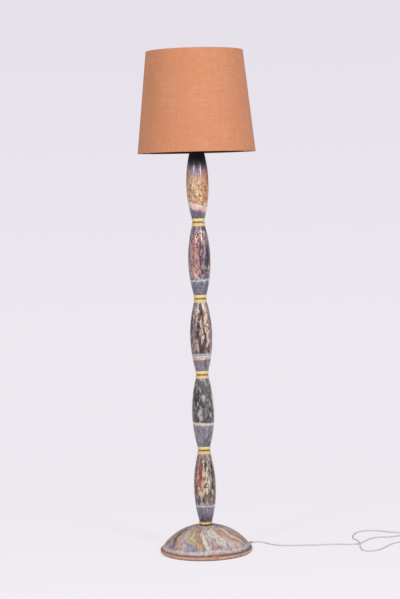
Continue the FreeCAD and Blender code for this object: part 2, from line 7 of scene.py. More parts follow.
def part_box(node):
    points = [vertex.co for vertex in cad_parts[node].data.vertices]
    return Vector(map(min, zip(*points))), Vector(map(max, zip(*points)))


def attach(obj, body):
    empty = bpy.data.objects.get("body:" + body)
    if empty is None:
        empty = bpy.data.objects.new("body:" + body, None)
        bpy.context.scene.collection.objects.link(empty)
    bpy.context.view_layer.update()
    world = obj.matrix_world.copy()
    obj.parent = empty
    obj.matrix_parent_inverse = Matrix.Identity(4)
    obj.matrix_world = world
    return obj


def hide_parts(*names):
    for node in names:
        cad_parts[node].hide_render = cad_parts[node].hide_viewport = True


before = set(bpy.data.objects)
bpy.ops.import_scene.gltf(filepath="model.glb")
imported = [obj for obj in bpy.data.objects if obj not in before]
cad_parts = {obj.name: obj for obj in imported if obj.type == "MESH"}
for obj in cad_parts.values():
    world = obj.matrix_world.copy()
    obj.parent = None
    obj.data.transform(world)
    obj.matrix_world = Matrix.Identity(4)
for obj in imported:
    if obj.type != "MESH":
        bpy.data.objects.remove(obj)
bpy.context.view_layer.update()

MM = 0.001
ROUND = 144                          # sides of a turned piece
SHADE_ROUND = 192

# ---------------------------------------------------------------- sizes, in metres

# taken from the frame
BASE_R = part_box("base_plinth")[1][0]
PLINTH_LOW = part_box("base_plinth")[0][2]
PLINTH_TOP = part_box("base_plinth")[1][2]
DOME_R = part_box("base_dome")[1][0]
DOME_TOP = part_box("base_dome")[1][2]
RECESS_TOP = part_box("base_ballast")[1][2]
FOOT_COLLAR_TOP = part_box("foot_collar")[1][2]
NECKS = [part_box("neck_collar_%d" % k) for k in range(1, 5)]
JOINTS = [(low[2] + high[2]) / 2 for low, high in NECKS]
PITCH = JOINTS[1] - JOINTS[0]
COLLAR_HALF = (NECKS[0][1][2] - NECKS[0][0][2]) / 2
BEAD_R = NECKS[0][1][0]
COLUMN_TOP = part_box("top_collar")[1][2]
BELLY_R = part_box("spindle_2")[1][0]
SHADE_LOW, SHADE_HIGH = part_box("shade_cover")[0][2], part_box("shade_cover")[1][2]
SHADE_LOW_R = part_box("shade_cover")[1][0]

# chosen with the photograph
PLINTH_BORE_R = 94 * MM
PLINTH_EDGE = 3 * MM
RECESS_R = 91.5 * MM
DOME_SHOULDER_R, DOME_SHOULDER_H = 109 * MM, 42 * MM
DOME_SEAT_R = 27 * MM
WAIST_R = 21.5 * MM
GROOVE_R = 19.6 * MM
BEAD_EDGE_R = 20.9 * MM
BEAD_H = 10.5 * MM
COVE_H = 3.5 * MM
COVE_R = 19.8 * MM
TENON_BORE_R = 12.1 * MM
FOOT_BORE_R = 14.1 * MM
SOCKET_DEPTH = 22.1 * MM             # of the dome, for the column's foot
PIPE_BORE_R = 5.5 * MM
SHADE_HIGH_R = 158.2 * MM
COVER_T = 0.9 * MM
LINING_T = 0.5 * MM
HEM_H = 7 * MM
CORD_R = 2.4 * MM
CORD_EXIT_ANGLE = math.radians(29)
CORD_EXIT_Z = 8 * MM
LEAD_HOLE_R = 5.5 * MM
SLEEVE_BORE_R = CORD_R + 0.1 * MM


# ---------------------------------------------------------------- camera

CAMERA_PLACE = (-0.000975, -5.5565, 1.2208)
CAMERA_TILT = math.radians(90 - 3.935)
CAMERA_ROLL = -0.02496               # the photograph leans a little to the left
CAMERA_LENS = 101.77


def add_camera():
    """Camera in front of the lamp, fitted to the photograph's outlines."""
    bpy.ops.object.camera_add(location=CAMERA_PLACE)
    camera = bpy.context.object
    camera.matrix_world = (Matrix.Translation(CAMERA_PLACE) @ Matrix.Rotation(CAMERA_TILT, 4, "X")
                           @ Matrix.Rotation(CAMERA_ROLL, 4, "Z"))
    camera.data.sensor_fit = "VERTICAL"
    camera.data.sensor_height = 36
    camera.data.lens = CAMERA_LENS
    bpy.context.scene.camera = camera


# ---------------------------------------------------------------- colours and nodes

CORAL, CRIMSON = "#D98A78", "#B04A40"
CREAM, PEACH, OCHRE = "#ECDFB8", "#E9C09C", "#DCB070"
SLATE_BLUE, PALE_PINK = "#5C688C", "#DFB8B0"
GREY_GREEN, ACID_YELLOW, TEAL = "#A2AA98", "#D2CC6C", "#4C6E68"


def colour(hex_code):
    """An sRGB hex value as Blender's linear colour."""
    channels = [int(hex_code[i:i + 2], 16) / 255 for i in (1, 3, 5)]
    linear = [c / 12.92 if c <= 0.04045 else ((c + 0.055) / 1.055) ** 2.4 for c in channels]
    return (*linear, 1.0)


def connect(tree, node, *values, **named):
    """Fill a node's inputs: values in their order, and those named with a capital by name.  A value is
    a number, a hex colour, a vector, an output, or a node whose first output is taken."""
    open_inputs = [socket for socket in node.inputs if socket.enabled]
    pairs = [(open_inputs[i], value) for i, value in enumerate(values) if value is not None]
    pairs += [(next(s for s in open_inputs if s.name == name.replace("_", " ")), value)
              for name, value in named.items() if name[0].isupper()]
    for socket, value in pairs:
        if isinstance(value, bpy.types.Node):
            value = next(output for output in value.outputs if output.enabled)
        if isinstance(value, bpy.types.NodeSocket):
            tree.links.new(value, socket)
        else:
            socket.default_value = colour(value) if isinstance(value, str) else value


def add(tree, kind, *values, stops=None, **named):
    """Add a shader node: small names are its settings, the rest goes to connect.  A colour ramp's stops
    are (place, hex) pairs."""
    node = tree.nodes.new("ShaderNode" + kind)
    for name, value in named.items():
        if name[0].islower():
            setattr(node, name, value)
    if stops:
        ramp = node.color_ramp
        ramp.elements.remove(ramp.elements[1])
        ramp.elements[0].position, ramp.elements[0].color = stops[0][0], colour(stops[0][1])
        for place, code in stops[1:]:
            ramp.elements.new(place).color = colour(code)
    connect(tree, node, *values, **named)
    return node


def new_material(name, shown):
    """A material with its tree, its shader and the Object coordinates that its patterns lie on."""
    material = bpy.data.materials.new(name)
    material.use_nodes = True
    material.diffuse_color = colour(shown)
    tree = material.node_tree
    return material, tree, tree.nodes["Principled BSDF"], add(tree, "TexCoord").outputs["Object"]


def per_mm(*sizes):
    """Scale of a pattern whose marks have these sizes in millimetres: one number, or one for each axis."""
    scales = tuple(1 / (size * MM) for size in sizes)
    return scales if len(scales) > 1 else scales[0]


def even_stops(codes):
    """Colours at even steps, each starting where the one before ends."""
    return [(i / len(codes), code) for i, code in enumerate(codes)]


def tones(codes, spread):
    """A dark, a middle and a light colour, this far apart on a noise that keeps near one half."""
    return list(zip((0.5 - spread, 0.5, 0.5 + spread), codes))


# ---------------------------------------------------------------- paint

def turn_about_z(tree, place, wander, strength):
    """Share of a turn about Z with its seam at the back, unsteady by a hand's wobble."""
    axes = add(tree, "SeparateXYZ", place)
    toward_camera = add(tree, "Math", axes.outputs["Y"], -1.0, operation="MULTIPLY")
    angle = add(tree, "Math", axes.outputs["X"], toward_camera, operation="ARCTAN2")
    share = add(tree, "Math", angle, 1 / math.tau, 0.5, operation="MULTIPLY_ADD")
    drift = add(tree, "Math", wander, strength, -strength / 2, operation="MULTIPLY_ADD")
    return add(tree, "Math", share, drift, operation="ADD")


def unsteady(tree, value, noise, amount):
    """A value that wanders with a noise, whose middle changes nothing."""
    moved = add(tree, "Math", noise, amount, value, operation="MULTIPLY_ADD")
    return add(tree, "Math", moved, amount / 2, operation="SUBTRACT")


def leaves(tree, turn, length, seed, around, low, high, breadth, density, palette):
    """Pointed brush strokes side by side around the axis, one to a cell.  Length runs from 0 to 1
    along them.  Returns their colour, their mask and the mask of their edge."""
    across = add(tree, "Math", turn, around, seed * 0.37, operation="MULTIPLY_ADD")
    counted = add(tree, "Math", across, operation="FLOOR")
    cell = add(tree, "Math", counted, around, operation="FLOORED_MODULO")
    centred = add(tree, "Math", add(tree, "Math", across, operation="FRACT"), 0.5, operation="SUBTRACT")
    key = add(tree, "CombineXYZ", cell, seed)
    chance = add(tree, "TexWhiteNoise", key, noise_dimensions="3D")
    split = add(tree, "SeparateColor", chance.outputs["Color"])

    foot = add(tree, "Math", split.outputs["Red"], 0.22, low, operation="MULTIPLY_ADD")
    reach = add(tree, "Math", split.outputs["Green"], -0.32, high - low, operation="MULTIPLY_ADD")
    from_foot = add(tree, "Math", length, foot, operation="SUBTRACT")
    share = add(tree, "Math", from_foot, reach, operation="DIVIDE", use_clamp=True)
    wave = add(tree, "Math", add(tree, "Math", share, math.pi, operation="MULTIPLY"), operation="SINE")
    swell = add(tree, "Math", add(tree, "Math", wave, 0.0, operation="MAXIMUM"), 0.6, operation="POWER")
    size = add(tree, "Math", split.outputs["Blue"], breadth * 0.5, breadth * 0.6, operation="MULTIPLY_ADD")
    here = add(tree, "Math", chance.outputs["Value"], density, operation="LESS_THAN")
    broad = add(tree, "Math", swell, size, operation="MULTIPLY")
    width = add(tree, "Math", broad, here, operation="MULTIPLY")
    inside = add(tree, "Math", width, add(tree, "Math", centred, operation="ABSOLUTE"), operation="SUBTRACT")
    mask = add(tree, "MapRange", inside, 0.0, 0.07)
    core = add(tree, "MapRange", inside, 0.06, 0.13)
    edge = add(tree, "Math", mask, core, operation="SUBTRACT", use_clamp=True)

    mixed = add(tree, "Math", chance.outputs["Value"], 7.13, split.outputs["Blue"], operation="MULTIPLY_ADD")
    ramp = add(tree, "ValToRGB", add(tree, "Math", mixed, operation="FRACT"), stops=even_stops(palette))
    ramp.color_ramp.interpolation = "CONSTANT"
    return ramp, mask, edge


def outlines(tree, place, size_mm, lines, weight):
    """Mask of thin wandering lines, such as a loaded brush draws around shapes."""
    field = add(tree, "TexNoise", place, Scale=per_mm(size_mm), Detail=1.0, Distortion=0.8)
    wave = add(tree, "Math", add(tree, "Math", field, lines, operation="MULTIPLY"), operation="FRACT")
    off = add(tree, "Math", add(tree, "Math", wave, 0.5, operation="SUBTRACT"), operation="ABSOLUTE")
    return add(tree, "MapRange", off, weight, weight * 0.4)


def over(tree, share, below, above, strength=1.0):
    """Paint above over paint below, as thick as its mask says."""
    share = add(tree, "Math", share, strength, operation="MULTIPLY")
    return add(tree, "Mix", share, below, above, data_type="RGBA")


def shaded(tree, paint, marks, strength, dark="#74727A", light="#EAE6E9"):
    """Paint made darker and lighter by a noise: its middle, a grey of half the light, changes nothing."""
    tone = add(tree, "ValToRGB", marks, stops=[(0.3, dark), (0.5, "#BCBABD"), (0.7, light)])
    return add(tree, "Mix", strength, paint, tone, data_type="RGBA", blend_type="SOFT_LIGHT")


def varnished(tree, shader, base, relief, depth_mm, coat, coat_roughness, strength=0.35, roughness=0.5):
    """Paint with the height of its strokes under a satin varnish: the coat gives narrow bright streaks,
    and the paint below stays soft."""
    bump = add(tree, "Bump", Strength=strength, Distance=depth_mm * MM, Height=relief)
    connect(tree, shader, Base_Color=base, Roughness=roughness, Normal=bump, Coat_Weight=coat,
            Coat_Roughness=coat_roughness)


def patches(tree, place, warp, wide_mm, tall_mm, palette, share):
    """Irregular touches of paint, taller than wide: their colour and the mask of those that are there."""
    moved = add(tree, "VectorMath", warp.outputs["Color"], (0.5, 0.5, 0.5), operation="SUBTRACT")
    moved = add(tree, "VectorMath", moved, (wide_mm * MM,) * 3, place, operation="MULTIPLY_ADD")
    scaled = add(tree, "Mapping", moved, Scale=per_mm(wide_mm, wide_mm, tall_mm))
    cells = add(tree, "TexVoronoi", scaled, Scale=1.0, Smoothness=0.1, Randomness=1.0, feature="SMOOTH_F1")
    pick = add(tree, "SeparateColor", cells.outputs["Color"])
    hue = add(tree, "ValToRGB", pick.outputs["Green"], stops=even_stops(palette))
    return hue, add(tree, "MapRange", pick.outputs["Red"], share, share - 0.1)


def section_paint(number, foot, lean, ground, zone, fields, layers, edges, dabs, drawing):
    """Artists' paint in loose strokes on a turned beech section, varnished: a mottled ground in bands up
    the section, soft fields and upright leaves over it, small dabs, and thin lines drawn last."""
    material, tree, shader, place = new_material("varnished_paint_on_beech_%d" % number, ground[1][1])
    wander = add(tree, "TexNoise", place, Scale=per_mm(30), Detail=1.0)
    upright = add(tree, "Mapping", place, Scale=(1, 1, 0.5))
    blots = add(tree, "TexNoise", upright, Scale=per_mm(10), Detail=4.0, Roughness=0.6)
    fine = add(tree, "TexNoise", place, Scale=per_mm(4), Detail=3.0, Roughness=0.6)
    brushed = add(tree, "Mapping", place, Scale=per_mm(4, 4, 60))
    bristles = add(tree, "TexNoise", brushed, Scale=1.0, Detail=3.0, Roughness=0.6)

    turn = turn_about_z(tree, place, wander, 0.10)
    axes = add(tree, "SeparateXYZ", place)
    above_foot = add(tree, "Math", axes.outputs["Z"], foot, operation="SUBTRACT")
    up = add(tree, "Math", above_foot, 1 / PITCH, operation="MULTIPLY")
    leaning = add(tree, "Math", axes.outputs["X"], lean / BELLY_R, up, operation="MULTIPLY_ADD")
    length = unsteady(tree, leaning, wander, 0.08)
    ragged = unsteady(tree, leaning, blots, 0.035)
    low, high = zone
    in_zone = add(tree, "Math", add(tree, "MapRange", ragged, low, low + 0.012),
                  add(tree, "MapRange", ragged, high, high - 0.08), operation="MULTIPLY")

    tint = add(tree, "TexNoise", place, Scale=per_mm(9), Detail=2.0).outputs["Color"]
    paint = shaded(tree, add(tree, "ValToRGB", ragged, stops=ground), blots, 0.6)
    hue, mask = patches(tree, place, wander, 15, 48, fields, 0.85)
    paint = over(tree, add(tree, "Math", mask, in_zone, operation="MULTIPLY"), paint, hue, 0.85)
    relief = add(tree, "Math", bristles, blots, operation="ADD")
    for index, layer in enumerate(layers):
        hue, mask, edge = leaves(tree, turn, length, number * 5 + index, *layer)
        paint = over(tree, mask, paint, hue, 0.9)
        drawn = add(tree, "Math", edge, add(tree, "MapRange", fine, 0.36, 0.5), operation="MULTIPLY")
        paint = over(tree, drawn, paint, edges[index], 0.75)
        relief = add(tree, "Math", mask, 0.5, relief, operation="MULTIPLY_ADD")
    shifted = add(tree, "Mapping", place, Location=(0.3, 0.1 * number, 0))
    hue, mask = patches(tree, shifted, wander, 5.5, 14, dabs, 0.3)
    paint = over(tree, add(tree, "Math", mask, in_zone, operation="MULTIPLY"), paint, hue, 0.8)

    paint = shaded(tree, paint, blots, 0.7, "#5C5A64")
    paint = shaded(tree, paint, bristles, 0.7)
    paint = shaded(tree, paint, fine, 0.7)
    paint = add(tree, "Mix", 0.5, paint, tint, data_type="RGBA", blend_type="SOFT_LIGHT")
    line, line_count, weight, strength = drawing
    drawn = outlines(tree, add(tree, "Mapping", place, Scale=(1, 1, 0.6)), 20, line_count, weight)
    paint = over(tree, add(tree, "Math", drawn, in_zone, operation="MULTIPLY"), paint, line, strength)
    varnished(tree, shader, paint, relief, 0.4, 0.55, 0.15)
    return material


SECTIONS = [    # from the foot up
    dict(lean=0.0,
         ground=[(0.0, "#312D36"), (0.08, "#54535C"), (0.16, "#77767E"), (0.25, "#8C8A90"),
                 (0.262, "#CDD0D4"), (0.285, "#C8BEB8"), (0.3, "#847A7E"), (0.6, "#8A8182"),
                 (0.95, "#A89E9C")],
         zone=(0.27, 0.97), fields=["#7E767C", PEACH, "#98A08E", "#6C6670", "#C9A79C", "#5E5660"],
         layers=[(6, 0.26, 1.0, 0.6, 1.0, ["#93302A", "#6E6672", PEACH, "#8E8488", CRIMSON, GREY_GREEN]),
                 (10, 0.3, 0.96, 0.4, 0.9, [ACID_YELLOW, CREAM, "#5A2C2A", CREAM, "#33443E", CRIMSON])],
         edges=[CREAM, "#3E2826"], dabs=[PALE_PINK, CREAM, TEAL, CRIMSON, "#2E2A30"],
         drawing=("#2C2226", 3, 0.13, 0.8)),
    dict(lean=0.008,
         ground=[(0.0, "#747078"), (0.2, "#868287"), (0.33, "#8C878B"), (0.348, "#E4DCC4"),
                 (0.366, "#E4DCC4"), (0.376, "#5E5860"), (0.6, "#5A5660"), (0.85, "#6C6870"),
                 (1.0, "#8A868A")],
         zone=(0.37, 0.98), fields=["#6E6A72", "#5A5660", "#7E767A", "#403C4A", "#DDD5C0", "#4E4C58"],
         layers=[(5, 0.4, 0.98, 0.5, 0.9, ["#5E5A66", "#34323E", PEACH, "#A39E9A", "#46444E"]),
                 (9, 0.36, 0.94, 0.42, 0.85, [CREAM, "#2C4440", "#B9C2AE", PEACH, "#E4DCCB"])],
         edges=["#A39B9C", "#24242C"], dabs=[TEAL, "#C3CBB8", CREAM, "#24242E", "#8A8480"],
         drawing=("#22222A", 3, 0.12, 0.75)),
    dict(lean=-0.006,
         ground=[(0.0, "#747078"), (0.195, "#85828A"), (0.203, "#E6BE9C"), (0.234, "#E6BE9C"),
                 (0.242, "#F0ECE4"), (0.252, "#96BDCE"), (0.27, "#96BDCE"), (0.28, "#B09C92"),
                 (0.6, "#A09490"), (1.0, "#A9A5A4")],
         zone=(0.28, 0.98), fields=["#C9B2A6", "#E2B8A0", "#3C363C", "#EDD0B6", "#A89488", "#34303C"],
         layers=[(6, 0.27, 1.0, 0.55, 0.9, ["#8E8C92", PEACH, "#3A343A", "#EDCDB2", "#262230", "#B9857A"]),
                 (11, 0.3, 0.94, 0.46, 0.9, ["#2C2A30", "#DCC6B8", "#7A302A", "#F2D3B8", "#1E1C26", PEACH,
                                             CRIMSON])],
         edges=["#4A3C3E", "#E8C6A8"], dabs=[PALE_PINK, "#3A2A2C", CREAM, "#8E3A32", PEACH],
         drawing=("#241C20", 4, 0.13, 0.85)),
    dict(lean=-0.01,
         ground=[(0.0, "#6A666E"), (0.13, "#78747C"), (0.19, "#6C7078"), (0.225, "#8A9298"),
                 (0.235, "#C2CED2"), (0.25, "#B4B8BA"), (0.262, "#8A8086"), (0.6, "#948A8E"),
                 (1.0, "#8E8A90")],
         zone=(0.25, 0.98), fields=["#868A80", "#7E7680", "#CF9790", "#C4BAB6", "#6A6670", PALE_PINK],
         layers=[(6, 0.25, 1.0, 0.55, 0.95, ["#E4C4BC", "#5A5E5A", "#CB8C86", "#B49AA0", "#8F9489"]),
                 (9, 0.3, 0.94, 0.42, 0.85, ["#B87E78", "#343A38", "#4A5478", "#D9A9A0", "#34395E"])],
         edges=["#464048", PALE_PINK], dabs=[CORAL, OCHRE, SLATE_BLUE, PALE_PINK, "#2A2830"],
         drawing=("#28242E", 3, 0.13, 0.8)),
    # the top section's ground darkens to near-black at its upper end, just under the lampshade
    dict(lean=0.045,
         ground=[(0.0, "#34323C"), (0.06, "#5C5A66"), (0.12, "#7A7482"), (0.142, "#8E8490"),
                 (0.157, "#DCB4AA"), (0.215, "#ECD2C8"), (0.24, "#DDB080"), (0.56, "#E6BE94"),
                 (0.6, "#C0A6A8"), (0.68, "#8C8090"), (0.74, "#4A4656"), (0.82, "#22202A"),
                 (1.0, "#121015")],
         zone=(0.23, 0.62), fields=["#D69E68", "#E8C89C", "#E0A88A", "#DDAE78", "#CB9276", "#EACDA4"],
         layers=[(7, 0.2, 0.7, 0.55, 0.8, ["#E8CBA0", "#D9A064", "#E2B08E", "#D49A68"]),
                 (10, 0.34, 0.74, 0.4, 0.75, ["#A8402E", CREAM, "#B8663C", CORAL, "#6A5A62"])],
         edges=["#9A6038", "#7A4630"], dabs=["#983E2C", CREAM, OCHRE, "#6A5A66", PEACH],
         drawing=("#7C4426", 7, 0.17, 0.85)),
]


DOME_STROKES = [
    (13, -0.3, 1.1, 0.95, 1.0, ["#BCA39C", "#8C968C", PEACH, "#7C8494", "#CFA48C", "#A29AAA"]),
    (21, -0.05, 1.05, 0.85, 0.9, ["#B89890", "#DCBE94", "#626E7E", "#98A090", "#DFB294", "#A29AA6",
                                  "#CFC4C2"]),
    (29, 0.05, 1.0, 0.55, 0.75, ["#E8DCC8", "#DD9C54", "#545E6A", "#D6A680", "#6A7864", "#D2C08C",
                                 "#D2C8CA"])]


def dome_paint():
    """Artists' paint in broad curved strokes that fan out from the column over a lilac-grey ground, with
    a thin varnish."""
    material, tree, shader, place = new_material("varnished_paint_on_dome", "#9A94A2")
    wander = add(tree, "TexNoise", place, Scale=per_mm(50), Detail=1.0)
    blots = add(tree, "TexNoise", place, Scale=per_mm(14), Detail=4.0, Roughness=0.6)
    fine = add(tree, "TexNoise", place, Scale=per_mm(5), Detail=3.0, Roughness=0.6)
    axes = add(tree, "SeparateXYZ", place)
    flat = add(tree, "CombineXYZ", axes.outputs["X"], axes.outputs["Y"])
    radius = add(tree, "VectorMath", flat, operation="LENGTH").outputs["Value"]
    outward = add(tree, "MapRange", radius, DOME_SEAT_R, DOME_R)
    swing = add(tree, "Math", outward, math.tau * 0.8, operation="MULTIPLY")
    sway = add(tree, "Math", swing, operation="SINE")
    turn = turn_about_z(tree, place, wander, 0.09)
    curved = add(tree, "Math", sway, 0.022, turn, operation="MULTIPLY_ADD")
    along = add(tree, "CombineXYZ", add(tree, "Math", curved, 110, operation="MULTIPLY"),
                add(tree, "Math", outward, 2.2, operation="MULTIPLY"))
    bristles = add(tree, "TexNoise", along, Scale=1.0, Detail=3.0, Roughness=0.6)

    paint = add(tree, "ValToRGB", blots, stops=[(0.36, "#8A8592"), (0.5, "#AAA4AE"), (0.62, "#CFC8CC")])
    relief = add(tree, "Math", blots, bristles, operation="ADD")
    for index, layer in enumerate(DOME_STROKES):
        hue, mask, edge = leaves(tree, curved, outward, 31 + index, *layer)
        cover = add(tree, "MapRange", bristles, 0.3, 0.5, 0.5, 0.95)
        paint = over(tree, add(tree, "Math", mask, cover, operation="MULTIPLY"), paint, hue)
        paint = over(tree, edge, paint, "#D2CACC", 0.5)
        relief = add(tree, "Math", mask, 0.5, relief, operation="MULTIPLY_ADD")
    paint = over(tree, outlines(tree, place, 42, 4, 0.08), paint, "#6E6872", 0.35)

    # a slate ring, then a pale one, then a broken dark line where the dome meets the plinth
    ragged = unsteady(tree, outward, wander, 0.12)
    ring = add(tree, "MapRange", ragged, 0.87, 0.93, 0.0, 0.75)
    rim_hue = add(tree, "ValToRGB", ragged, stops=[(0.86, "#6A6F7C"), (0.9, "#A89EA6"), (0.94, "#E2D6D0"),
                                                   (0.975, "#CBBCB8"), (1.0, "#8E868C")])
    paint = over(tree, ring, paint, rim_hue)
    paint = shaded(tree, paint, blots, 0.8)
    paint = shaded(tree, paint, bristles, 1.0, "#5C5A62")
    paint = shaded(tree, paint, fine, 0.8)
    low_edge = add(tree, "MapRange", axes.outputs["Z"], PLINTH_TOP + 5 * MM, PLINTH_TOP + 1 * MM)
    dashes = add(tree, "Math", low_edge, add(tree, "MapRange", blots, 0.42, 0.55), operation="MULTIPLY")
    paint = over(tree, dashes, paint, "#5A4038", 0.8)
    varnished(tree, shader, paint, relief, 0.5, 0.2, 0.3)
    return material


def plinth_paint():
    """Terracotta house paint, brushed round the edge and a little chalky."""
    material, tree, shader, place = new_material("brushed_terracotta_paint", "#BE8F77")
    rounds = add(tree, "Mapping", place, Scale=per_mm(40, 40, 1.2))
    streaks = add(tree, "TexNoise", rounds, Scale=1.0, Detail=4.0, Roughness=0.6)
    blotches = add(tree, "TexNoise", place, Scale=per_mm(24), Detail=3.0)
    base = add(tree, "ValToRGB", streaks, stops=tones(["#BD8469", "#D7A287", "#E4B79D"], 0.2))
    worn = add(tree, "ValToRGB", blotches, stops=tones(["#96716B", "#D7A287", "#E8C2AC"], 0.15))
    base = add(tree, "Mix", 0.45, base, worn, data_type="RGBA")
    height = add(tree, "SeparateXYZ", place).outputs["Z"]
    upper = add(tree, "MapRange", height, PLINTH_TOP - 2.5 * MM, PLINTH_TOP - 1 * MM)
    broken = add(tree, "Math", upper, add(tree, "MapRange", blotches, 0.42, 0.52), operation="MULTIPLY")
    base = over(tree, broken, base, "#5E4340", 0.8)
    roughness = add(tree, "MapRange", streaks, 0.3, 0.7, 0.5, 0.66)
    varnished(tree, shader, base, streaks, 0.3, 0.12, 0.35, 0.3, roughness)
    return material


def collar_paint():
    """Ochre and cream oil paint, thick on the beads, with one thin dark red line in the groove."""
    material, tree, shader, place = new_material("varnished_ochre_paint", "#E8CB72")
    height = add(tree, "SeparateXYZ", place).outputs["Z"]
    blotches = add(tree, "TexNoise", place, Scale=per_mm(8), Detail=3.0, Roughness=0.6)
    from_foot = add(tree, "Math", height, -DOME_TOP, operation="ADD")
    pitches = add(tree, "Math", from_foot, 1 / PITCH, 0.5, operation="MULTIPLY_ADD")
    off = add(tree, "Math", add(tree, "Math", pitches, operation="FRACT"), 0.5, operation="SUBTRACT")
    across = add(tree, "Math", off, PITCH / (2 * COLLAR_HALF), 0.5, operation="MULTIPLY_ADD")
    hue = add(tree, "ValToRGB", across,
              stops=[(0.0, "#EFE0B4"), (0.12, "#EED292"), (0.3, "#EBC888"), (0.43, "#DDB064"),
                     (0.45, "#431510"), (0.55, "#431510"), (0.57, "#DDB45C"), (0.72, "#EFD580"),
                     (0.86, "#F6E8B0"), (1.0, "#E6CC78")])
    hue = over(tree, add(tree, "MapRange", blotches, 0.52, 0.72), hue, "#F3E8C6", 0.45)
    hue = over(tree, add(tree, "MapRange", blotches, 0.42, 0.3), hue, "#D9A862", 0.4)
    varnished(tree, shader, hue, blotches, 0.3, 0.5, 0.18, 0.25, 0.45)
    return material


def foot_ring_paint():
    """The same ochre paint, with painted shade, a dark purple-brown, in the hollow against the dome and a
    dark red upper edge."""
    material, tree, shader, place = new_material("varnished_ochre_paint_foot", "#E8CB72")
    height = add(tree, "SeparateXYZ", place).outputs["Z"]
    blotches = add(tree, "TexNoise", place, Scale=per_mm(9), Detail=3.0)
    yellow = add(tree, "ValToRGB", blotches, stops=[(0.34, "#C9923F"), (0.46, "#E8C85E"), (0.6, "#F2E08C")])
    ragged = add(tree, "Math", blotches, 3 * MM, height, operation="MULTIPLY_ADD")
    # painted shade: the hollow against the dome is painted dark
    low = add(tree, "MapRange", ragged, DOME_TOP + COVE_H + 3.4 * MM, DOME_TOP + COVE_H + 2.2 * MM)
    high = add(tree, "MapRange", ragged, FOOT_COLLAR_TOP - 2.4 * MM, FOOT_COLLAR_TOP - 1.2 * MM)
    base = over(tree, high, over(tree, low, yellow, "#2C2028"), "#5A2A24", 0.8)
    varnished(tree, shader, base, blotches, 0.3, 0.5, 0.18, 0.25, 0.45)
    return material


# ---------------------------------------------------------------- cloth, plastics and metals

def threads(tree, place, spacing_mm, warp_mm, weft_mm):
    """Noise drawn out along the warp and along the weft, as wide as the threads lie apart."""
    return [add(tree, "TexNoise", add(tree, "Mapping", place, Scale=per_mm(*sizes)), Scale=1.0, Detail=2.0)
            for sizes in ((spacing_mm, spacing_mm, warp_mm), (weft_mm, weft_mm, spacing_mm))]


def linen():
    """Heavy slubbed linen laminated on a stiff backing: matt, with thick and thin threads both ways.
    The threads are about 1 mm apart; the slubs over them are drawn 6 and 7 mm wide so that they show."""
    material, tree, shader, place = new_material("slubbed_linen", "#DD9A72")
    warp, weft = threads(tree, place, 1.1, 26, 24)
    slubs, cross_slubs = (
        add(tree, "TexNoise", add(tree, "Mapping", place, Scale=per_mm(*sizes)), Scale=1.0, Detail=3.0,
            Roughness=0.6)
        for sizes in ((7, 7, 60), (45, 45, 6)))
    clouds = add(tree, "TexNoise", place, Scale=per_mm(90), Detail=2.0)
    thin = add(tree, "Math", warp, weft, operation="ADD")
    thick = add(tree, "Math", slubs, cross_slubs, operation="ADD")
    weave = add(tree, "Math", add(tree, "Math", thin, 0.3, operation="MULTIPLY"),
                add(tree, "Math", thick, 0.2, operation="MULTIPLY"), operation="ADD")
    base = add(tree, "ValToRGB", weave, stops=tones(["#C98462", "#D8916B", "#E0A07C"], 0.14))
    fading = add(tree, "MapRange", clouds, 0.4, 0.65, 0.0, 0.35)
    faded = add(tree, "Mix", fading, base, "#D28A60", data_type="RGBA")
    bump = add(tree, "Bump", Strength=0.5, Distance=0.35 * MM, Height=thin)
    connect(tree, shader, Base_Color=faded, Roughness=0.9, Normal=bump, Specular_IOR_Level=0.25,
            Sheen_Weight=0.15, Sheen_Roughness=0.5)
    return material


def backing():
    """Inside face of the laminated cloth, matt red-brown: its darkness is painted shade for the dim inside
    of the lampshade.
    """
    material, tree, shader, place = new_material("linen_back_with_painted_shade", "#5E2E25")
    weave = add(tree, "Math", *threads(tree, place, 1.2, 24, 22), operation="MULTIPLY")
    base = add(tree, "ValToRGB", weave, stops=[(0.15, "#4C231C"), (0.25, "#5E2E25"), (0.38, "#733C31")])
    bump = add(tree, "Bump", Strength=0.3, Distance=0.2 * MM, Height=weave)
    connect(tree, shader, Base_Color=base, Roughness=0.75, Normal=bump)
    return material


def moulded(name, codes, roughness, grain_mm, coat=0.0):
    """A moulded or extruded plastic or rubber: one colour with faint flow marks, and a fine grain."""
    material, tree, shader, place = new_material(name, codes[1])
    flow = add(tree, "TexNoise", place, Scale=per_mm(15), Detail=3.0)
    grain = add(tree, "TexNoise", place, Scale=per_mm(grain_mm), Detail=2.0)
    base = add(tree, "ValToRGB", flow, stops=tones(codes, 0.2))
    bump = add(tree, "Bump", Strength=0.2, Distance=0.05 * MM, Height=grain)
    rough = add(tree, "MapRange", grain, 0.3, 0.7, roughness - 0.07, roughness + 0.07)
    connect(tree, shader, Base_Color=base, Roughness=rough, Normal=bump, Coat_Weight=coat,
            Coat_Roughness=0.15)
    return material


def worked_metal(name, codes, roughness, line_mm):
    """A turned, drawn or plated metal: fine lines round it, and a slightly uneven shine."""
    material, tree, shader, place = new_material(name, codes[1])
    rounds = add(tree, "Mapping", place, Scale=per_mm(8, 8, line_mm))
    lines = add(tree, "TexNoise", rounds, Scale=1.0, Detail=3.0)
    tarnish = add(tree, "TexNoise", place, Scale=per_mm(10), Detail=4.0)
    base = add(tree, "ValToRGB", tarnish, stops=tones(codes, 0.2))
    rough = add(tree, "MapRange", lines, 0.3, 0.7, roughness - 0.08, roughness + 0.1)
    bump = add(tree, "Bump", Strength=0.15, Distance=0.05 * MM, Height=lines)
    connect(tree, shader, Base_Color=base, Roughness=rough, Normal=bump, Metallic=1.0)
    return material


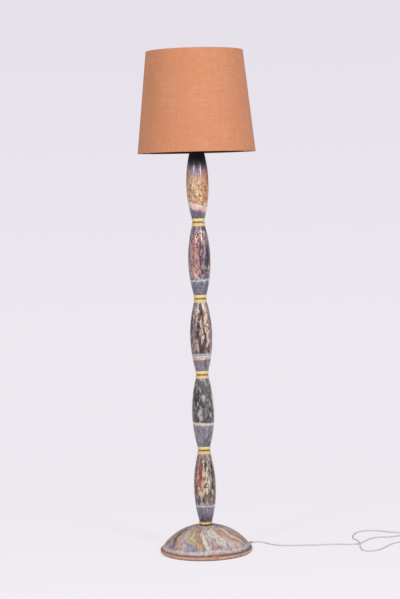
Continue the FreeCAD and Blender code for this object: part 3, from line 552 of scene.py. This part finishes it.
def rough_matter(name, codes, roughness, grain_mm, depth_mm):
    """A matt, grainy surface, such as felt, unglazed porcelain, woven webbing or a raw casting."""
    material, tree, shader, place = new_material(name, codes[1])
    grain = add(tree, "TexNoise", place, Scale=per_mm(grain_mm), Detail=4.0, Roughness=0.7)
    base = add(tree, "ValToRGB", grain, stops=tones(codes, 0.15))
    bump = add(tree, "Bump", Strength=0.4, Distance=depth_mm * MM, Height=grain)
    connect(tree, shader, Base_Color=base, Roughness=roughness, Normal=bump)
    return material


def opal_glass():
    """Bulb glass frosted white inside: milky, with a clear gloss on its outer face."""
    material, tree, shader, place = new_material("opal_bulb_glass", "#F2F0EA")
    powder = add(tree, "TexNoise", place, Scale=per_mm(4), Detail=3.0)
    base = add(tree, "ValToRGB", powder, stops=tones(["#E9E6DE", "#F1EFE9", "#F6F4F0"], 0.2))
    rough = add(tree, "MapRange", powder, 0.3, 0.7, 0.08, 0.14)
    connect(tree, shader, Base_Color=base, Roughness=rough, IOR=1.5, Subsurface_Weight=0.3,
            Subsurface_Radius=(4 * MM, 4 * MM, 4 * MM))
    return material


# ---------------------------------------------------------------- shaping

def only(*pieces):
    """Select these objects alone, the first of them active."""
    bpy.ops.object.select_all(action="DESELECT")
    for piece in pieces:
        piece.select_set(True)
    bpy.context.view_layer.objects.active = pieces[0]


def edit_all():
    """Go into edit mode with all of the active piece selected."""
    bpy.ops.object.mode_set(mode="EDIT")
    bpy.ops.mesh.select_all(action="SELECT")


def apply_place():
    """Write the place, turn and scale of what is selected into its mesh."""
    bpy.ops.object.transform_apply(location=True, rotation=True, scale=True)


def arc(start, through, end, steps):
    """Points on the arc from start past a middle point to end, start left out."""
    (ax, ay), (bx, by), (cx, cy) = start, through, end
    twice = 2 * (ax * (by - cy) + bx * (cy - ay) + cx * (ay - by))
    squares = ax * ax + ay * ay, bx * bx + by * by, cx * cx + cy * cy
    ux = (squares[0] * (by - cy) + squares[1] * (cy - ay) + squares[2] * (ay - by)) / twice
    uy = (squares[0] * (cx - bx) + squares[1] * (ax - cx) + squares[2] * (bx - ax)) / twice
    radius = math.hypot(ax - ux, ay - uy)
    first = math.atan2(ay - uy, ax - ux)
    middle = (math.atan2(by - uy, bx - ux) - first) % math.tau
    sweep = (math.atan2(cy - uy, cx - ux) - first) % math.tau
    if middle > sweep:
        sweep -= math.tau
    angles = [first + sweep * i / steps for i in range(1, steps + 1)]
    return [(ux + radius * math.cos(angle), uy + radius * math.sin(angle)) for angle in angles]


def groove(r, z, depth_mm, heights_mm, lip_mm=0.0):
    """Half outline of one groove, from its lower edge up: at these heights over z it has reached its
    depth, starts to rise, and ends at a lip that lies this much lower than its start."""
    down, rise, end = heights_mm
    return [(r, z), (r - depth_mm * MM, z + down * MM), (r - depth_mm * MM, z + rise * MM),
            (r - lip_mm * MM, z + end * MM)]


def turned(name, outline, sides=ROUND, sharp=32):
    """Extrude half an outline of (r, z) points from a single vertex and spin it about Z, as on a lathe."""
    bpy.ops.object.select_all(action="DESELECT")
    bpy.ops.mesh.primitive_plane_add(size=0.01, location=(0, 0, 0))
    piece = bpy.context.object
    piece.name = piece.data.name = name
    edit_all()
    bpy.ops.mesh.merge(type="CENTER")
    bpy.ops.transform.translate(value=(outline[0][0], 0, outline[0][1]))
    for (r, z), (next_r, next_z) in zip(outline, outline[1:]):
        bpy.ops.mesh.extrude_region_move(TRANSFORM_OT_translate={"value": (next_r - r, 0, next_z - z)})
    bpy.ops.mesh.select_all(action="SELECT")
    bpy.ops.mesh.spin(steps=sides, angle=math.tau, center=(0, 0, 0), axis=(0, 0, 1))
    bpy.ops.mesh.select_all(action="SELECT")
    bpy.ops.mesh.remove_doubles(threshold=0.01 * MM)
    bpy.ops.mesh.normals_make_consistent(inside=False)
    bpy.ops.object.mode_set(mode="OBJECT")
    bpy.ops.object.shade_smooth_by_angle(angle=math.radians(sharp))
    return piece


def laid_on_exit_line(piece):
    """Carry a piece turned about Z to the line along which the lead leaves the base."""
    piece.matrix_world = (Matrix.Translation((0, 0, CORD_EXIT_Z)) @ Matrix.Rotation(CORD_EXIT_ANGLE, 4, "Z")
                          @ Matrix.Rotation(math.radians(90), 4, "Y"))
    only(piece)
    apply_place()


def finished(piece, material, body, slot, *nodes):
    """Give a new piece its material, its body and the nodes that it stands for; slot is not used."""
    piece.data.materials.clear()
    piece.data.materials.append(material)
    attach(piece, body)
    if nodes:
        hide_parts(*nodes)
    return piece


# ---------------------------------------------------------------- mains lead

LEAD_START = (155.25, 86.05, 8.0)
LEAD_ROUTE = [
    LEAD_START, (169.24, 93.81, 8.0), (187, 94.5, 6.2), (202.5, 86.5, 3.8), (218, 71, 2.4), (242, 52, 2.4),
    (276, 42, 2.4), (318, 43.5, 2.4), (365, 40.5, 2.4), (413, 49, 2.4), (455, 43, 2.4), (490, 36, 2.4),
    (513, 46, 2.4), (530, 73, 2.4), (550, 112, 2.4), (577, 141, 2.4), (603, 143, 2.4), (629, 139, 2.4),
    (662, 158, 2.4), (690, 170, 2.4), (715, 160, 2.4), (728, 135, 2.4), (722, 106, 2.4), (700, 86, 2.4),
    (650, 59, 2.4), (622, 37, 2.4), (599, -7, 2.4), (580, -40, 2.4), (562, -64, 2.4), (537, -73, 2.4),
    (515, -60, 2.4), (509, -33, 3.2), (510.5, 0, 6.4), (511, 30, 10.48), (508, 62, 10.48), (501, 96, 6.8),
    (498, 130, 3.0), (501, 170, 2.4), (513, 212, 2.4), (533, 243, 2.4), (562, 256, 2.4), (598, 247, 2.4),
    (634, 221, 2.4), (664, 207, 2.4)]

COIL_PLACE = (716, 240)
COIL_INNER_R = 20.0
COIL_PITCH = 5.4
COIL_QUARTERS = 21
COIL_TURN_BACK = 10                  # the quarter turn at which the coil reverses and climbs
COIL_LOW, COIL_RISE = 3.1, 5.4
COIL_STEPS = 3                       # control points in a quarter turn


def coil_points():
    """Control points of the coil: a spiral in, one layer up and a spiral out.  A control point lies a
    little outside the turn that it pulls."""
    pull = (1 + 1 / math.cos(math.pi / 4 / COIL_STEPS)) / 2
    points = []
    for i in range(COIL_QUARTERS * COIL_STEPS + 1):
        quarter = i / COIL_STEPS
        angle = math.radians(90 * (quarter - 1))
        r = (COIL_INNER_R + COIL_PITCH * abs(quarter - COIL_TURN_BACK) / 4) * pull
        climb = min(max((quarter - COIL_TURN_BACK + 1) / 2, 0), 1)
        points.append((COIL_PLACE[0] + r * math.cos(angle), COIL_PLACE[1] + r * math.sin(angle),
                       COIL_LOW + COIL_RISE * climb))
    return points


LEAD_TO_PLUG = [(750.9, 257, 8.3), (760.13, 271.5, 8.0)]


def mains_lead(material):
    """Thin two-core lead: one NURBS curve from the sleeve over the floor into the coil and the plug."""
    coil = coil_points()
    before_coil = (coil[0][0] - 22, coil[0][1] - 1, 2.7)
    points = LEAD_ROUTE + [before_coil] + coil + LEAD_TO_PLUG
    curve = bpy.data.curves.new("mains_lead", "CURVE")
    curve.dimensions = "3D"
    spline = curve.splines.new("NURBS")
    spline.points.add(len(points) - 1)
    for control, (x, y, z) in zip(spline.points, points):
        control.co = (x * MM, y * MM, z * MM, 1)
    spline.order_u = 3
    spline.use_endpoint_u = True
    spline.use_smooth = True
    curve.resolution_u = 8
    curve.bevel_depth = CORD_R
    curve.bevel_resolution = 4
    curve.use_fill_caps = True
    lead = bpy.data.objects.new("mains_lead", curve)
    bpy.context.scene.collection.objects.link(lead)
    finished(lead, material, "lamp", "lead_plastic", "mains_cord_run", "mains_cord_coil")


def lead_sleeve(material):
    """Rubber bush and tapered sleeve with grooves, where the lead leaves the plinth."""
    seat, tip = BASE_R - 2.5 * MM, BASE_R + 25 * MM
    inner_end = seat - 14 * MM
    bush_r, flange_r, flange_edge_r = 4.2 * MM, 5.4 * MM, 5.0 * MM
    root_r, tip_r = 4.4 * MM, 3.2 * MM
    outline = [(SLEEVE_BORE_R, inner_end), (bush_r, inner_end), (bush_r, seat), (flange_r, seat),
               (flange_r, BASE_R - 0.4 * MM), (flange_edge_r, BASE_R), (root_r, BASE_R),
               (root_r, BASE_R + 3 * MM)]
    grooves, step = 6, 3 * MM
    for i in range(grooves):
        z = BASE_R + 3.5 * MM + i * step
        r = root_r + (tip_r - root_r) * (z - BASE_R) / (tip - BASE_R)
        outline += groove(r, z, 0.7, (0.3, 1.2, 1.5), lip_mm=0.1)
    outline += [(tip_r, tip - 0.8 * MM), (tip_r - 0.3 * MM, tip), (SLEEVE_BORE_R, tip),
                (SLEEVE_BORE_R, inner_end)]
    piece = turned("lead_sleeve", outline, sides=32)
    laid_on_exit_line(piece)
    finished(piece, material, "lamp", "bush_rubber", "cord_grommet")


PLUG_LONG, PLUG_WIDE, PLUG_THICK = 32 * MM, 30 * MM, 15.2 * MM
PLUG_RELIEF = 20 * MM                # length of the sleeve before the block
PLUG_KNEE = 0.45                     # share of the block's length over which it narrows to the lead
PLUG_THROAT = (1, 0.55, 0.8)         # size of its narrow end, as shares of the block's
RIB_SIZE = (1.3 * MM, 17 * MM, 1.0 * MM)
RIB_COUNT, RIB_STEP, RIB_START = 4, 3 * MM, 0.52


def laid_on_plug_line(piece):
    """Carry a piece made along X from the origin to where the lead meets the plug."""
    entry = Vector([c * MM for c in LEAD_TO_PLUG[-1]])
    low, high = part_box("plug_pins")
    heading = Vector(((low[0] + high[0]) / 2 - entry.x, (low[1] + high[1]) / 2 - entry.y))
    turn = Matrix.Rotation(math.atan2(heading.y, heading.x), 4, "Z")
    piece.matrix_world = Matrix.Translation(entry) @ turn @ piece.matrix_world
    only(piece)
    apply_place()


def plug_block():
    """Block with round edges, which narrows to the lead."""
    bpy.ops.object.select_all(action="DESELECT")
    bpy.ops.mesh.primitive_cube_add(size=1, location=(PLUG_RELIEF + PLUG_LONG / 2, 0, 0),
                                    scale=(PLUG_LONG, PLUG_WIDE, PLUG_THICK))
    block = bpy.context.object
    block.name = block.data.name = "plug"
    apply_place()
    edit_all()
    bpy.ops.mesh.bisect(plane_co=(PLUG_RELIEF + PLUG_LONG * PLUG_KNEE, 0, 0), plane_no=(1, 0, 0))
    bpy.ops.mesh.select_all(action="DESELECT")
    bpy.ops.object.mode_set(mode="OBJECT")
    for vertex in block.data.vertices:
        vertex.select = vertex.co.x < PLUG_RELIEF + 0.1 * MM
    bpy.ops.object.mode_set(mode="EDIT")
    bpy.ops.transform.resize(value=PLUG_THROAT, center_override=(PLUG_RELIEF, 0, 0))
    bpy.ops.mesh.select_all(action="SELECT")
    bpy.ops.object.mode_set(mode="OBJECT")
    round_off = block.modifiers.new("moulded_edges", "BEVEL")
    round_off.width = 3 * MM
    round_off.segments = 4
    round_off.limit_method = "ANGLE"
    round_off.angle_limit = math.radians(35)
    only(block)
    bpy.ops.object.modifier_apply(modifier=round_off.name)
    return block


def plug_rib(face, index):
    """Grip rib with softened edges on the upper (1) or lower (-1) face."""
    place = (PLUG_RELIEF + PLUG_LONG * RIB_START + index * RIB_STEP, 0, face * (PLUG_THICK / 2 - 0.1 * MM))
    bpy.ops.mesh.primitive_cube_add(size=1, scale=RIB_SIZE, location=place)
    rib = bpy.context.object
    apply_place()
    edit_all()
    bpy.ops.mesh.bevel(offset=0.4 * MM, segments=2, affect="EDGES")
    bpy.ops.object.mode_set(mode="OBJECT")
    return rib


def plug_sleeve():
    """Grooved sleeve between the lead and the block."""
    tip_r, root_r, end = 3.2 * MM, 4.6 * MM, PLUG_RELIEF + 2 * MM
    outline = [(SLEEVE_BORE_R, 0), (tip_r - 0.3 * MM, 0), (tip_r, 0.8 * MM)]
    grooves = 5
    for i in range(grooves):
        x = 2 * MM + i * 3.4 * MM
        outline += groove(tip_r + (root_r - tip_r) * x / PLUG_RELIEF, x, 0.6, (0.3, 1.3, 1.6))
    outline += [(root_r, PLUG_RELIEF), (root_r, end), (SLEEVE_BORE_R, end), (SLEEVE_BORE_R, 0)]
    sleeve = turned("plug_sleeve", outline, sides=32)
    sleeve.matrix_world = Matrix.Rotation(math.radians(90), 4, "Y")
    return sleeve


def plug(material):
    """Moulded two-pin plug: a block, grip ribs on its two faces and a sleeve, in one piece."""
    block = plug_block()
    ribs = [plug_rib(face, index) for face in (-1, 1) for index in range(RIB_COUNT)]
    only(block, plug_sleeve(), *ribs)
    bpy.ops.object.join()
    bpy.ops.object.shade_smooth_by_angle(angle=math.radians(35))
    laid_on_plug_line(block)
    finished(block, material, "lamp", "plug_plastic", "plug_body")


# ---------------------------------------------------------------- base

def plinth(material):
    """Ring with rounded edges and a hole for the lead's bush."""
    low, high = PLINTH_LOW, PLINTH_TOP
    edge = PLINTH_EDGE
    knee = edge * (1 - math.sqrt(0.5))
    outline = ([(PLINTH_BORE_R, low), (BASE_R - edge, low)]
               + arc((BASE_R - edge, low), (BASE_R - knee, low + knee), (BASE_R, low + edge), 6)
               + arc((BASE_R, high - edge), (BASE_R - knee, high - knee), (BASE_R - edge, high), 6)
               + [(PLINTH_BORE_R, high), (PLINTH_BORE_R, low)])
    piece = turned("plinth", outline)
    bpy.ops.object.select_all(action="DESELECT")
    bpy.ops.mesh.primitive_cylinder_add(vertices=32, radius=LEAD_HOLE_R, depth=2 * (BASE_R - PLINTH_BORE_R),
                                        location=(0, 0, (BASE_R + PLINTH_BORE_R) / 2))
    drill = bpy.context.object
    apply_place()
    laid_on_exit_line(drill)
    only(piece)
    cut = piece.modifiers.new("lead_hole", "BOOLEAN")
    cut.operation = "DIFFERENCE"
    cut.solver = "EXACT"
    cut.object = drill
    bpy.ops.object.modifier_apply(modifier=cut.name)
    bpy.data.objects.remove(drill)
    bpy.ops.object.shade_smooth_by_angle(angle=math.radians(32))
    finished(piece, material, "lamp", "plinth_paint", "base_plinth")


def dome(material):
    """Arched dome with a recess for the ballast below and a socket for the column above."""
    socket_bottom = DOME_TOP - SOCKET_DEPTH
    seat, shoulder = (DOME_SEAT_R, DOME_TOP), (DOME_SHOULDER_R, PLINTH_TOP + DOME_SHOULDER_H)
    outline = ([(FOOT_BORE_R, DOME_TOP), seat] + arc(seat, shoulder, (DOME_R, PLINTH_TOP), 28)[:-1]
               + [(DOME_R - 0.1 * MM, PLINTH_TOP + 0.8 * MM), (DOME_R - 0.8 * MM, PLINTH_TOP),
                  (RECESS_R, PLINTH_TOP), (RECESS_R, RECESS_TOP), (PIPE_BORE_R, RECESS_TOP),
                  (PIPE_BORE_R, socket_bottom), (FOOT_BORE_R, socket_bottom), (FOOT_BORE_R, DOME_TOP)])
    finished(turned("dome", outline), material, "lamp", "dome_paint", "base_dome")


# ---------------------------------------------------------------- column

def foot_ring(material):
    """Ring between dome and column: a hollow against the dome and a bead above it."""
    z0, cove, z1 = DOME_TOP, DOME_TOP + COVE_H, FOOT_COLLAR_TOP
    outline = ([(FOOT_BORE_R, z0), (BEAD_EDGE_R, z0)]
               + arc((BEAD_EDGE_R, z0), (COVE_R, (z0 + cove) / 2), (BEAD_EDGE_R, cove), 6)
               + arc((BEAD_EDGE_R, cove), (BEAD_R, (cove + z1) / 2), (BEAD_EDGE_R, z1), 10)
               + [(FOOT_BORE_R, z1), (FOOT_BORE_R, z0)])
    finished(turned("foot_ring", outline), material, "lamp", "collar_paint", "foot_collar")


def bead(z0, z1):
    """Half outline of one bead with softened edges, from its lower edge up."""
    soft = 0.5 * MM
    return ([(BEAD_EDGE_R - soft, z0), (BEAD_EDGE_R, z0 + soft)]
            + arc((BEAD_EDGE_R, z0 + soft), (BEAD_R, (z0 + z1) / 2), (BEAD_EDGE_R, z1 - soft), 8)
            + [(BEAD_EDGE_R - soft, z1)])


def neck_ring(k, material):
    """Ring between two sections: two beads with a groove between them."""
    middle = JOINTS[k - 1]
    z0, z1 = middle - COLLAR_HALF, middle + COLLAR_HALF
    low, high = z0 + BEAD_H, z1 - BEAD_H
    outline = ([(TENON_BORE_R, z0)] + bead(z0, low) + [(GROOVE_R, low), (GROOVE_R, high)]
               + bead(high, z1) + [(TENON_BORE_R, z1), (TENON_BORE_R, z0)])
    finished(turned("neck_ring_%d" % k, outline), material, "lamp", "collar_paint", "neck_collar_%d" % k)


def top_ring(material):
    """Half a ring at the column's top: one bead, and the groove up to its end."""
    z0, z1 = COLUMN_TOP - COLLAR_HALF, COLUMN_TOP
    outline = ([(TENON_BORE_R, z0)] + bead(z0, z0 + BEAD_H)
               + [(GROOVE_R, z0 + BEAD_H), (GROOVE_R, z1), (TENON_BORE_R, z1), (TENON_BORE_R, z0)])
    finished(turned("top_ring", outline), material, "lamp", "collar_paint", "top_collar")


def section(number, material):
    """One turned section: an arched belly whose ends go into the rings."""
    z0 = FOOT_COLLAR_TOP if number == 1 else JOINTS[number - 2] + COLLAR_HALF
    z1 = DOME_TOP + number * PITCH - COLLAR_HALF
    belly = arc((WAIST_R, z0), (BELLY_R, (z0 + z1) / 2), (WAIST_R, z1), 44)
    outline = [(PIPE_BORE_R, z0), (WAIST_R, z0)] + belly + [(PIPE_BORE_R, z1), (PIPE_BORE_R, z0)]
    piece = turned("section_%d" % number, outline)
    finished(piece, material, "lamp", "column_paint", "spindle_%d" % number)


# ---------------------------------------------------------------- lampholder and bulb

def holder_skirt(material):
    """Upper half of the lampholder: a lap, a flange and a skirt threaded for the shade ring.  The thread's
    turns are drawn as rings, 2.5 mm apart."""
    (_, _, low), (flange_r, _, high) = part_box("holder_shell")
    lap_r, bore_r, skirt_r = 17.9 * MM, 15.5 * MM, 19.5 * MM
    inner_r, step_z = skirt_r - 2 * MM, low + 7 * MM
    rim, flange_low, flange_high = low + 4 * MM, low + 10 * MM, low + 13 * MM
    soft, thin = 0.4 * MM, 0.3 * MM
    outline = [(bore_r, low), (lap_r, low), (lap_r, rim), (skirt_r - soft, rim), (skirt_r, rim + soft),
               (skirt_r, flange_low), (flange_r - 0.5 * MM, flange_low), (flange_r, flange_low + 0.5 * MM),
               (flange_r, flange_high - thin), (flange_r - thin, flange_high), (skirt_r, flange_high)]
    turns, pitch = 8, 2.5 * MM
    for turn in range(turns):
        outline += groove(skirt_r, flange_high + 1.5 * MM + turn * pitch, 0.8, (0.7, 1.0, 1.7))
    outline += [(skirt_r, high - soft), (skirt_r - soft, high), (inner_r, high), (inner_r, step_z),
                (bore_r, step_z), (bore_r, low)]
    finished(turned("holder_skirt", outline, sides=96), material, "lamp", "holder_plastic", "holder_shell")


def grip_ring(material):
    """Threaded ring that clamps the shade's carrier, with a finger notch in every third side."""
    (_, _, low), (r, _, high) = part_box("shade_ring")
    bore_r, soft, sides = 19.6 * MM, 0.5 * MM, 72
    outline = [(bore_r, low), (r - soft, low), (r, low + soft), (r, high - soft), (r - soft, high),
               (bore_r, high), (bore_r, low)]
    piece = turned("grip_ring", outline, sides=sides, sharp=20)
    bpy.ops.object.mode_set(mode="EDIT")
    bpy.ops.mesh.select_mode(type="FACE")
    bpy.ops.mesh.select_all(action="DESELECT")
    bpy.ops.object.mode_set(mode="OBJECT")
    for face in piece.data.polygons:
        x, y, z = face.center
        on_rim = math.hypot(x, y) > r - 0.2 * MM and low + soft < z < high - soft
        side = int(math.degrees(math.atan2(y, x)) % 360 / (360 / sides))
        face.select = on_rim and side % 3 == 0
    bpy.ops.object.mode_set(mode="EDIT")
    bpy.ops.mesh.inset(thickness=0.15 * MM, use_individual=True)
    bpy.ops.mesh.extrude_region_shrink_fatten(TRANSFORM_OT_shrink_fatten={"value": -0.9 * MM})
    bpy.ops.object.mode_set(mode="OBJECT")
    bpy.ops.object.shade_smooth_by_angle(angle=math.radians(20))
    finished(piece, material, "ring", "holder_plastic", "shade_ring")


def screw_cap(material):
    """Aluminium cap of the bulb, with a rolled thread of 3.6 mm pitch that runs round it as one helix."""
    (_, _, low), (crest, _, high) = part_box("bulb_cap")
    pitch, turns = 3.6 * MM, 4
    root, bore_r = crest - 0.8 * MM, crest - 1.02 * MM
    outline = [(bore_r, low), (root, low), (root, high - 4.5 * MM), (crest, high - 3.2 * MM), (crest, high),
               (bore_r, high), (bore_r, low)]
    cap = turned("screw_cap", outline, sides=72)
    corners = 8
    bpy.ops.object.select_all(action="DESELECT")
    bpy.ops.mesh.primitive_circle_add(vertices=corners, radius=1, rotation=(math.radians(90), 0, 0),
                                      location=(root, 0, low + pitch / 2))
    ridge = bpy.context.object
    ridge.scale = (crest - root, pitch * 0.36, 1)
    apply_place()
    wind = ridge.modifiers.new("thread", "SCREW")
    wind.screw_offset = pitch
    wind.iterations = turns
    wind.steps = wind.render_steps = 48
    bpy.ops.object.modifier_apply(modifier=wind.name)
    edit_all()
    bpy.ops.mesh.fill_holes(sides=corners)
    bpy.ops.mesh.select_all(action="SELECT")
    bpy.ops.mesh.normals_make_consistent(inside=False)
    bpy.ops.object.mode_set(mode="OBJECT")
    only(cap, ridge)
    bpy.ops.object.join()
    bpy.ops.object.shade_smooth_by_angle(angle=math.radians(40))
    finished(cap, material, "bulb", "bulb_metal", "bulb_cap")


# ---------------------------------------------------------------- shade

def shade_r(z):
    """Radius of the cone's outer face at a height."""
    share = (z - SHADE_LOW) / (SHADE_HIGH - SHADE_LOW)
    return SHADE_LOW_R + (SHADE_HIGH_R - SHADE_LOW_R) * share


def hem(edge, step):
    """Outline of the fuller band at an edge of the shade, from the edge inwards (step 1 up, -1 down)."""
    full = 0.35 * MM
    turn, end = edge + 0.5 * MM * step, edge + HEM_H * step
    crest = turn + 2 * MM * step
    return [(shade_r(edge) - COVER_T / 2, edge), (shade_r(turn) + full * 0.6, turn),
            (shade_r(crest) + full, crest), (shade_r(end) + full, end - 1 * MM * step), (shade_r(end), end)]


def shade_cloth(material):
    """Drum of laminated linen, turned over the wires: a slightly fuller band at each edge."""
    heights = [SHADE_LOW + (SHADE_HIGH - SHADE_LOW) * share for share in (0.25, 0.5, 0.75)]
    outer = hem(SHADE_LOW, 1) + [(shade_r(z), z) for z in heights] + hem(SHADE_HIGH, -1)[::-1]
    inner = [(shade_r(SHADE_HIGH) - COVER_T, SHADE_HIGH - 0.2 * MM),
             (shade_r(SHADE_LOW) - COVER_T, SHADE_LOW + 0.2 * MM)]
    piece = turned("shade_linen", outer + inner + [outer[0]], sides=SHADE_ROUND)
    finished(piece, material, "shade", "shade_linen", "shade_cover")


def shade_inside(material):
    """Backing of the cloth, against its inner face."""
    low, high = SHADE_LOW + 0.3 * MM, SHADE_HIGH - 0.3 * MM
    outer = COVER_T
    inner = COVER_T + LINING_T
    outline = [(shade_r(low) - inner, low), (shade_r(low) - outer, low), (shade_r(high) - outer, high),
               (shade_r(high) - inner, high), (shade_r(low) - inner, low)]
    finished(turned("shade_inside", outline, sides=SHADE_ROUND), material, "shade", "lining", "shade_lining")


# ---------------------------------------------------------------- stage and light

PAPER = "#F6F4F8"
NEAR_PAPER, FAR_PAPER, HIGH_PAPER = "#F6F2F9", "#EDE8EF", "#E6E0E9"      # as the camera sees it
FLOOR_R = 9
WORLD_LIGHT = 0.35
LAMP_WATTS = {-1: 24.5, 1: 34}       # left and right
LAMP_AZIMUTH = math.radians(37)
LAMP_DISTANCE = 2.65
LAMP_HEIGHT, AIM_HEIGHT = 1.95, 0.9
SOFT_BOX_WIDE, SOFT_BOX_TALL = 0.35, 0.6


def any_of(tree, rays):
    """1 for these kinds of ray and 0 for the others."""
    path = add(tree, "LightPath")
    seen = path.outputs[rays[0]]
    for ray in rays[1:]:
        seen = add(tree, "Math", seen, path.outputs[ray], operation="MAXIMUM")
    return seen


def floor_paper():
    """Pale paper: the camera and mirrors see mostly its own colour, so it stays even, and it keeps part
    of its real shade near the lamp."""
    material, tree, shader, place = new_material("studio_floor_paper", PAPER)
    connect(tree, shader, Base_Color=PAPER, Roughness=0.9, Specular_IOR_Level=0.0)
    away = add(tree, "VectorMath", place, operation="LENGTH").outputs["Value"]
    far = add(tree, "MapRange", away, 0.6, 2.5, interpolation_type="SMOOTHSTEP")
    glow = add(tree, "Emission", add(tree, "Mix", far, NEAR_PAPER, FAR_PAPER, data_type="RGBA"), 1.0)
    seen = any_of(tree, ["Is Camera Ray", "Is Glossy Ray", "Is Transmission Ray"])
    share = add(tree, "Math", add(tree, "MapRange", far, 0.0, 1.0, 0.82, 1.0), seen, operation="MULTIPLY")
    connect(tree, tree.nodes["Material Output"], add(tree, "MixShader", share, shader, glow))
    return material


def add_stage():
    """Paper floor with a pale backdrop in the world: the world lights the lamp with plain white."""
    bpy.ops.mesh.primitive_circle_add(vertices=96, radius=FLOOR_R, fill_type="NGON", location=(0, 0, 0))
    floor = bpy.context.object
    floor.name = "studio_floor"
    floor.data.materials.append(floor_paper())

    world = bpy.context.scene.world or bpy.data.worlds.new("studio")
    bpy.context.scene.world = world
    world.use_nodes = True
    tree = world.node_tree
    tree.nodes.clear()
    seen = any_of(tree, ["Is Camera Ray", "Is Transmission Ray"])
    light = add(tree, "Background", "#FFFFFF", WORLD_LIGHT)
    height = add(tree, "SeparateXYZ", add(tree, "TexCoord").outputs["Generated"]).outputs["Z"]
    rise = add(tree, "MapRange", height, -0.08, 0.11)
    backdrop = add(tree, "Background", add(tree, "Mix", rise, FAR_PAPER, HIGH_PAPER, data_type="RGBA"), 1.0)
    connect(tree, add(tree, "OutputWorld"), add(tree, "MixShader", seen, light, backdrop))


def add_lights():
    """Two soft boxes in front, left and right of the camera, level with the shade's top and above."""
    for side in (-1, 1):
        aside, forward = LAMP_DISTANCE * math.sin(LAMP_AZIMUTH), LAMP_DISTANCE * math.cos(LAMP_AZIMUTH)
        place = Vector((side * aside, -forward, LAMP_HEIGHT))
        aim = Vector((0, 0, AIM_HEIGHT)) - place
        bpy.ops.object.light_add(type="AREA", location=place)
        lamp = bpy.context.object
        lamp.name = "soft_box_left" if side < 0 else "soft_box_right"
        lamp.rotation_euler = aim.to_track_quat("-Z", "Y").to_euler()
        lamp.data.shape = "RECTANGLE"
        lamp.data.size = SOFT_BOX_WIDE
        lamp.data.size_y = SOFT_BOX_TALL
        lamp.data.energy = LAMP_WATTS[side]


# ---------------------------------------------------------------- putting it together

bpy.context.scene.view_settings.view_transform = "Standard"
add_camera()

pvc_lead = moulded("extruded_pvc_lead", ["#E0D8D7", "#E6DFDD", "#EBE5E2"], 0.45, 1.5)
plug(moulded("moulded_pvc_plug", ["#D8CFCC", "#DFD7D3", "#E5DEDA"], 0.5, 0.6))
mains_lead(pvc_lead)

add_stage()
add_lights()

lead_sleeve(moulded("moulded_rubber", ["#B5A99F", "#BDB2A8", "#C4BAB0"], 0.6, 0.8))

plinth(plinth_paint())
dome(dome_paint())
foot_ring(foot_ring_paint())
ochre = collar_paint()
for k in range(1, 5):
    neck_ring(k, ochre)
top_ring(ochre)
for index, paint in enumerate(SECTIONS):
    section(index + 1, section_paint(index + 1, DOME_TOP + index * PITCH, **paint))
shade_cloth(linen())
# the inside of the lampshade is painted dark red-brown as painted shade
painted_shade_back = backing()
shade_inside(painted_shade_back)

black_phenolic = moulded("pressed_black_phenolic", ["#1B1A1A", "#201F1F", "#262525"], 0.38, 0.6, coat=0.2)
zinc = worked_metal("zinc_plated_steel", ["#B4B6B8", "#C2C4C6", "#CED0D2"], 0.35, 0.4)
brass = worked_metal("turned_brass", ["#B98F45", "#CBA35A", "#D9B673"], 0.3, 0.3)
copper = worked_metal("bare_copper_strand", ["#B5674A", "#C97B5C", "#D98F70"], 0.35, 0.3)
nickel = worked_metal("nickel_plated_brass", ["#C9C5BC", "#D5D1C9", "#DEDBD4"], 0.18, 0.3)
aluminium = worked_metal("rolled_aluminium", ["#C6C7C8", "#D2D3D4", "#DCDDDE"], 0.32, 0.4)
cast_iron = rough_matter("raw_cast_iron", ["#2E2C2B", "#3A3837", "#474442"], 0.7, 1.2, 0.3)
felt = rough_matter("pressed_felt", ["#3C3732", "#4A443E", "#58514A"], 0.95, 0.8, 0.4)
porcelain = rough_matter("unglazed_porcelain", ["#E4E0D8", "#EBE8E1", "#F1EEE8"], 0.6, 1.0, 0.05)
webbing = rough_matter("woven_webbing", ["#B5AFA8", "#C4BEB7", "#D0CAC3"], 0.85, 0.7, 0.2)
white_wire = moulded("white_powder_coat", ["#E2DED6", "#E9E6DF", "#EEEBE5"], 0.5, 0.7)

holder_skirt(black_phenolic)
grip_ring(black_phenolic)
screw_cap(aluminium)

CAD_FINISHES = {
    felt: ["felt_pad"],
    cast_iron: ["base_ballast"],
    zinc: ["plinth_screws", "pipe_foot_washer", "lamp_pipe"],
    brass: ["pipe_foot_nut", "cap_disc", "pipe_top_nut", "holder_screw_shell", "holder_contact",
            "holder_terminals"],
    copper: ["lead_cores"],
    pvc_lead: ["inner_lead"],
    black_phenolic: ["holder_cup", "switch_bar", "bulb_tip"],
    porcelain: ["holder_insert"],
    opal_glass(): ["bulb_envelope"],
    white_wire: ["carrier_ring", "carrier_arms"],
    # the wires take the same dark painted shade as the cloth's back
    painted_shade_back: ["shade_top_wire", "shade_bottom_wire"],         # the cloth's edges are turned over them
    webbing: ["cord_tie"],
    nickel: ["plug_pins"],
}
for material, nodes in CAD_FINISHES.items():
    for node in nodes:
        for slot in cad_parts[node].material_slots:
            slot.material = material
